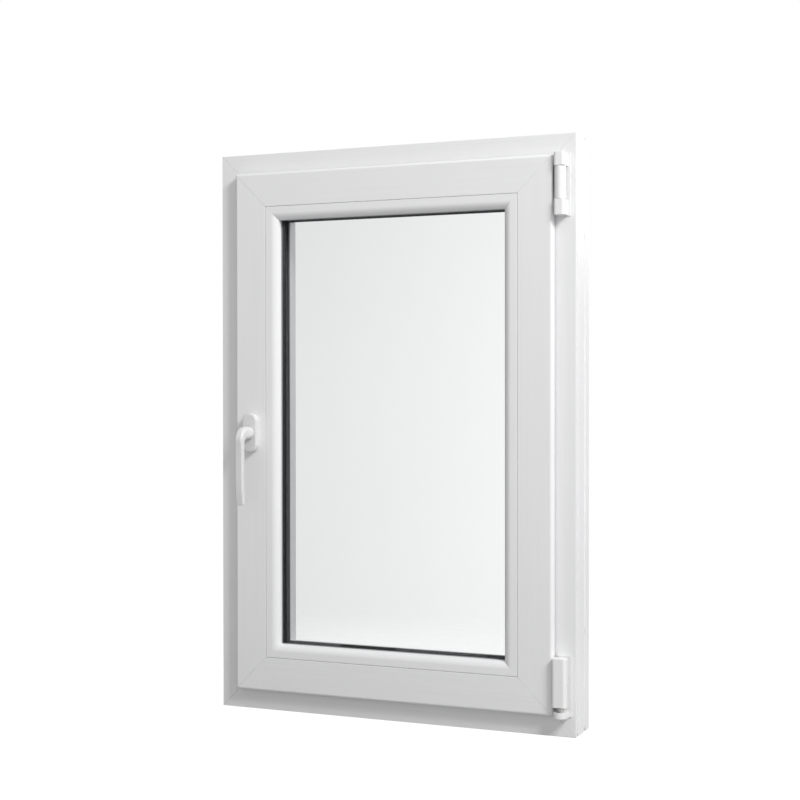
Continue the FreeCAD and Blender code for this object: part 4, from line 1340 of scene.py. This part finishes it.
@dataclass(frozen=True)
class Section:
    """One section of the lever: half sizes and corner radius in millimetres."""

    half_wide: float
    half_deep: float
    corner: float

    def ring(self, count: int = 48) -> list[Point]:
        """Give the section's outline.

        Args:
            count: number of points.

        Returns:
            The points, anticlockwise from the right-hand side.
        """
        result = []
        radius = min(self.corner, self.half_wide, self.half_deep)
        flat_x, flat_y = self.half_wide - radius, self.half_deep - radius
        for index in range(count):
            angle = 2 * math.pi * (index + 0.5) / count
            across, deep = math.cos(angle), math.sin(angle)
            result.append((math.copysign(flat_x, across) + radius * across,
                           math.copysign(flat_y, deep) + radius * deep))
        return result

    def toward(self, other: "Section", share: float) -> "Section":
        """Give the section part of the way to another."""
        smooth = share * share * (3 - 2 * share)
        return Section(*(a + (b - a) * smooth for a, b in
                         ((self.half_wide, other.half_wide), (self.half_deep, other.half_deep),
                          (self.corner, other.corner))))


@dataclass
class Handle:
    """Rosette with arched ends, and a lever with a full elbow and a flattened grip."""

    rosette_wide: float = 26.8
    rosette_tall: float = 62.8
    rosette_thick: float = 11.0
    rosette_soft: float = 2.6
    rosette_skin: float = 3.0
    rosette_wall: float = 2.0
    neck_hole: float = 8.8
    hole_ease: float = 0.5
    stand: float = 41.0
    neck_steps: tuple[float, ...] = (3, 7, 11.2, 11.7, 12.2, 15, 18, 21, 24)
    elbow: float = 14.0
    ease_from: float = 72.0
    drop: float = 112.5
    ease_back: float = 3.2
    end_soft: float = 1.6
    sections: tuple[tuple[float, Section], ...] = (
        (0.0, Section(8.4, 8.4, 8.4)), (11.2, Section(8.4, 8.4, 8.4)),
        (12.2, Section(10.2, 10.2, 10.2)), (15.0, Section(10.2, 10.2, 10.2)),
        (22.0, Section(9.0, 10.9, 8.8)), (32.0, Section(8.0, 9.6, 6.6)),
        (42.0, Section(7.2, 6.9, 4.0)), (54.0, Section(6.9, 5.1, 2.9)),
        (75.0, Section(6.8, 4.5, 2.3)), (150.0, Section(6.5, 4.1, 2.1)))

    @property
    def centre(self) -> Vector:
        """Give the point on the sash's face behind the handle, in millimetres."""
        low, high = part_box("handle_spindle")
        middle = (low + high) * 0.5 / MM
        middle.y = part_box("handle_base")[1].y / MM
        return middle

    def stadium(self, shrink: float, count: int = 96) -> list[Point]:
        """Give the rosette's outline.

        Args:
            shrink: how far it is drawn in, in millimetres.
            count: number of points, none of which is on a straight side.

        Returns:
            The points, anticlockwise from the right-hand side.
        """
        half = self.rosette_wide / 2 - shrink
        flat = (self.rosette_tall - self.rosette_wide) / 2
        result = []
        for index in range(count):
            angle = 2 * math.pi * (index + 0.5) / count
            lift = flat if math.sin(angle) > 0 else -flat
            result.append((half * math.cos(angle), half * math.sin(angle) + lift))
        return result

    def rosette(self) -> Mesh:
        """Make the rosette as one closed shell, open at the back."""
        centre = self.centre
        thick, soft = self.rosette_thick, self.rosette_soft

        def ring(points: Sequence[Point], stand: float) -> list[Vector]:
            """Place one ring at its stand-off from the sash."""
            return [(centre + Vector((x, -stand, z))) * MM for x, z in points]

        count = len(self.stadium(0))
        # known fault: the hole takes the outline's angles, so it has two flat sides
        angles = [math.atan2(z, x) for x, z in self.stadium(0)]
        circles = {radius: [(radius * math.cos(a), radius * math.sin(a)) for a in angles]
                   for radius in (self.neck_hole, self.neck_hole + self.hole_ease)}
        rings = [ring(self.stadium(0, count), 0)]
        for step in range(9):
            turn = math.pi / 2 * step / 8
            rings.append(ring(self.stadium(soft * (1 - math.cos(turn)), count),
                              thick - soft + soft * math.sin(turn)))
        rings.append(ring(circles[self.neck_hole + self.hole_ease], thick))
        rings.append(ring(circles[self.neck_hole], thick - self.hole_ease))
        rings.append(ring(circles[self.neck_hole], thick - self.rosette_skin))
        inside = self.stadium(self.rosette_wall, count)
        rings.append(ring(inside, thick - self.rosette_skin))
        rings.append(ring(inside, 0))
        return lofted(rings, "handle_rosette_cover", looped=True)

    def section_at(self, travelled: float) -> Section:
        """Give the lever's section at a place on its path.

        Args:
            travelled: the way along the path, in millimetres.

        Returns:
            The section there.
        """
        for (start, first), (stop, second) in zip(self.sections, self.sections[1:]):
            if travelled <= stop:
                return first.toward(second, (travelled - start) / (stop - start))
        return self.sections[-1][1]

    def path(self) -> list[tuple[float, float, float]]:
        """Give the lever's path as stand-off, drop and turn down from straight out."""
        straight = self.stand - self.elbow
        steps = [(stand, 0.0, 0.0) for stand in self.neck_steps]
        for index in range(17):
            turn = math.pi / 2 * index / 16
            steps.append((straight + self.elbow * math.sin(turn),
                          self.elbow * (1 - math.cos(turn)), turn))
        levels = [self.elbow + (self.ease_from - self.elbow) * i / 8 for i in range(1, 9)]
        levels += [self.ease_from + (self.drop - self.ease_from) * i / 12 for i in range(1, 13)]
        for level in levels:
            past = max(level - self.ease_from, 0) / (self.drop - self.ease_from)
            lean = 2 * self.ease_back * past / (self.drop - self.ease_from)
            steps.append((self.stand - self.ease_back * past ** 2, level,
                          math.pi / 2 + math.atan(lean)))
        return steps

    def lever(self) -> Mesh:
        """Make the lever as one closed shell."""
        centre = self.centre
        steps = self.path()
        rings = []
        travelled = float(self.neck_steps[0])
        for index, (stand, level, turn) in enumerate(steps):
            if index:
                travelled += math.dist(steps[index - 1][:2], (stand, level))
            rings.append((stand, level, turn, self.section_at(travelled)))
        stand, level, turn, last = rings[-1]
        for step in range(1, 7):
            bend = math.pi / 2 * step / 6
            drawn = self.end_soft * (1 - math.cos(bend))
            further = self.end_soft * math.sin(bend)
            rings.append((stand + math.cos(turn) * further, level + math.sin(turn) * further, turn,
                          Section(last.half_wide - drawn, last.half_deep - drawn,
                                  max(last.corner - drawn, 0.6))))
        placed = []
        for stand, level, turn, section in rings:
            placed.append([(centre + Vector((
                across, -(stand + deep * math.sin(turn)), -(level - deep * math.cos(turn))))) * MM
                for across, deep in section.ring()])
        return lofted(placed, "handle_lever_grip")

    def build(self) -> None:
        """Build the rosette and the lever and dress the parts behind them."""
        white = HANDLE_COAT.material()
        hand_over(self.rosette(), "handle_rosette_cover", white, "handle_rosette")
        hand_over(self.lever(), "handle_lever_grip", white, "handle_lever")
        eased_copy("handle_base", COVER_ABS.material(), 0.3)
        eased_copy("handle_spindle", GEAR_STEEL.material(), 0.3)
        eased_copy("handle_screws", SCREW_STEEL.material(), 0.3)


# ------------------------------------------------------------------ studio

@dataclass
class Studio:
    """Pale floor, soft lamps, white surroundings and the camera.

    The ambient and mirrored fields, and the field of painted shade seen through the glass, are
    brightness straight ahead, its change to the right and upwards, and its least and most. That
    painted shade is the backdrop that the camera sees through both panes: darker to the left and,
    by its bow, towards the top and bottom, standing in for shade and reflection on the glass.
    """

    eye: tuple[float, float, float] = (0.9262, -2.1784, 0.5219)
    azimuth: float = 23.01
    elevation: float = -0.48
    roll: float = -0.05
    lens: float = 67.22
    sensor: float = 36.0
    floor_radius: float = 1.6
    floor_drop: float = 0.0006
    floor_grey: float = 0.30
    floor_glow: Point = (0.08, 0.88)
    fade_from: float = 0.45
    fade_to_share: float = 0.75
    ambient: tuple[float, ...] = (0.38, 0.06, 0.08, 0.1, 1.0)
    front_lobe: float = 0.42
    mirrored: tuple[float, ...] = (0.13, 0.28, 0.20, 0.02, 0.8)
    # painted shade: the next two fields set the backdrop that the camera sees through both panes,
    # darker to the left and towards the top and bottom, standing in for shade and reflection on the
    # glass
    painted_glass_shade: tuple[float, ...] = (1.555, 1.22, -0.17, 0.70, 1.18)
    painted_glass_shade_bow: float = 2.0
    clear_faces: float = 2.5
    lamps: tuple[tuple[str, tuple[float, float, float], float, float], ...] = (
        ("key_upper_right", (2.5, -1.35, 2.2), 1.0, 92.0),
        ("fill_rear", (1.2, 2.5, 1.4), 1.6, 36.0))

    def camera(self) -> None:
        """Make the camera and use it."""
        lens = bpy.data.cameras.new("camera")
        lens.lens, lens.sensor_width = self.lens, self.sensor
        lens.dof.use_dof = False
        item = bpy.data.objects.new("camera", lens)
        bpy.context.scene.collection.objects.link(item)
        turn, lift = math.radians(self.azimuth), math.radians(self.elevation)
        ahead = Vector((-math.sin(turn) * math.cos(lift), math.cos(turn) * math.cos(lift),
                        math.sin(lift)))
        aim = ahead.to_track_quat("-Z", "Y").to_matrix().to_4x4()
        item.matrix_world = (Matrix.Translation(self.eye) @ aim
                             @ Matrix.Rotation(math.radians(self.roll), 4, "Z"))
        bpy.context.scene.camera = item

    def floor(self) -> None:
        """Make the pale floor, which fades out into the white around it."""
        bm = bmesh.new()
        bmesh.ops.create_circle(bm, cap_ends=True, segments=64, radius=self.floor_radius,
                                matrix=Matrix.Translation((0.0, 0.0, -self.floor_drop)))
        item = shown(from_bmesh(bm, "floor"), "floor")
        made, graph = blank_material("pale_floor")
        place = graph.add("ShaderNodeTexCoord").outputs["Object"]
        far = graph.add("ShaderNodeVectorMath", {0: place}, operation="LENGTH").outputs["Value"]
        fade = graph.add("ShaderNodeMapRange", {
            "Value": far, "From Min": self.fade_from,
            "From Max": self.floor_radius * self.fade_to_share,
            "To Min": 0.0, "To Max": 1.0}, interpolation_type="SMOOTHSTEP").outputs[0]
        grey = (self.floor_grey, self.floor_grey, self.floor_grey, 1.0)
        matt = graph.add("ShaderNodeBsdfDiffuse", {"Color": grey}).outputs[0]
        seen = graph.add("ShaderNodeLightPath").outputs["Is Camera Ray"]
        strength = graph.mix_values(seen, *self.floor_glow)
        glow = graph.add("ShaderNodeEmission", {
            "Color": (1.0, 1.0, 1.0, 1.0), "Strength": strength}).outputs[0]
        pale = graph.add("ShaderNodeAddShader", {0: matt, 1: glow}).outputs[0]
        clear = graph.add("ShaderNodeBsdfTransparent").outputs[0]
        both = graph.add("ShaderNodeMixShader", {0: fade, 1: pale, 2: clear})
        graph.add("ShaderNodeOutputMaterial", {"Surface": both.outputs[0]})
        item.data.materials.append(made)

    def slope(self, graph: Graph, way: Sequence[NodeSocket], base: float, right: float,
              up: float, least: float, most: float) -> NodeSocket:
        """Give a brightness that changes evenly with the direction looked in.

        Args:
            graph: the graph to add to.
            way: the direction's three parts.
            base: brightness straight ahead.
            right: change towards +X.
            up: change upwards.
            least: lowest brightness.
            most: highest brightness.

        Returns:
            The brightness.
        """
        level = graph.math("MULTIPLY_ADD", way[0], right, base)
        level = graph.math("MULTIPLY_ADD", way[2], up, level)
        return graph.math("MINIMUM", graph.math("MAXIMUM", level, least), most)

    def surroundings(self) -> None:
        """Make the white backdrop, its painted shade behind the glass, and the light all round."""
        world = bpy.data.worlds.new("studio")
        bpy.context.scene.world = world
        world.use_nodes = True
        world.node_tree.nodes.clear()
        graph = Graph(world.node_tree)
        way = graph.add("ShaderNodeSeparateXYZ", {
            0: graph.add("ShaderNodeTexCoord").outputs["Generated"]}).outputs
        ray = graph.add("ShaderNodeLightPath").outputs
        ahead = graph.math("MAXIMUM", graph.math("MULTIPLY", way[1], -1.0), 0.0)
        lobe = graph.math("MULTIPLY", graph.math("POWER", ahead, 3.0), self.front_lobe)
        ambient = graph.math("ADD", self.slope(graph, way, *self.ambient), lobe)
        mirrored = self.slope(graph, way, *self.mirrored)
        # painted shade and reflection: behind both panes the camera sees a backdrop darker to the
        # left and towards the top and bottom, not the even white
        painted_shade_top_bottom = graph.math("MULTIPLY", graph.math("MULTIPLY", way[2], way[2]), self.painted_glass_shade_bow)
        painted_glass_shade = graph.math("SUBTRACT", self.slope(graph, way, *self.painted_glass_shade), painted_shade_top_bottom)
        painted_glass_shade_mask = graph.math("GREATER_THAN", ray["Transparent Depth"], self.clear_faces)
        seen = graph.mix_values(painted_glass_shade_mask, 1.0, painted_glass_shade)
        level = graph.mix_values(ray["Is Glossy Ray"], ambient, mirrored)
        level = graph.mix_values(ray["Is Camera Ray"], level, seen)
        white = graph.add("ShaderNodeBackground", {
            "Color": (1.0, 1.0, 1.0, 1.0), "Strength": level}).outputs[0]
        graph.add("ShaderNodeOutputWorld", {"Surface": white})

    def lamp(self, name: str, place: Vector, aim: Vector, size: float, power: float) -> None:
        """Hang one soft square lamp.

        Args:
            name: the lamp's name.
            place: where it hangs, in metres.
            aim: the point it faces.
            size: its side, in metres.
            power: its power in watts.
        """
        light = bpy.data.lights.new(name, "AREA")
        light.size, light.energy = size, power
        item = bpy.data.objects.new(name, light)
        bpy.context.scene.collection.objects.link(item)
        item.location = place
        item.rotation_mode = "QUATERNION"
        item.rotation_quaternion = (Vector(aim) - Vector(place)).to_track_quat("-Z", "Y")

    def build(self) -> None:
        """Set up everything round the window."""
        self.camera()
        self.floor()
        self.surroundings()
        low, high = CAD_BOX
        middle = (low + high) / 2
        for name, offset, size, power in self.lamps:
            self.lamp(name, middle + Vector(offset), middle, size, power)
        bpy.context.scene.view_settings.view_transform = "Standard"


def main() -> None:
    """Build the window's looks assembly by assembly, then the studio round it."""
    logging.basicConfig(level=logging.INFO, format="%(name)s: %(message)s")
    runs = MitredRun()
    screws = ScrewSet()
    assemblies = (OuterFrame(runs), Sash(runs), Beads(runs), Seals(runs), GlassUnit(runs),
                  Strikers(screws), Hinges(screws, CapSet()), LockingGear(screws), Handle(),
                  Studio())
    for assembly in assemblies:
        LOG.info("building %s", type(assembly).__name__)
        assembly.build()


if __name__ == "__main__":
    main()
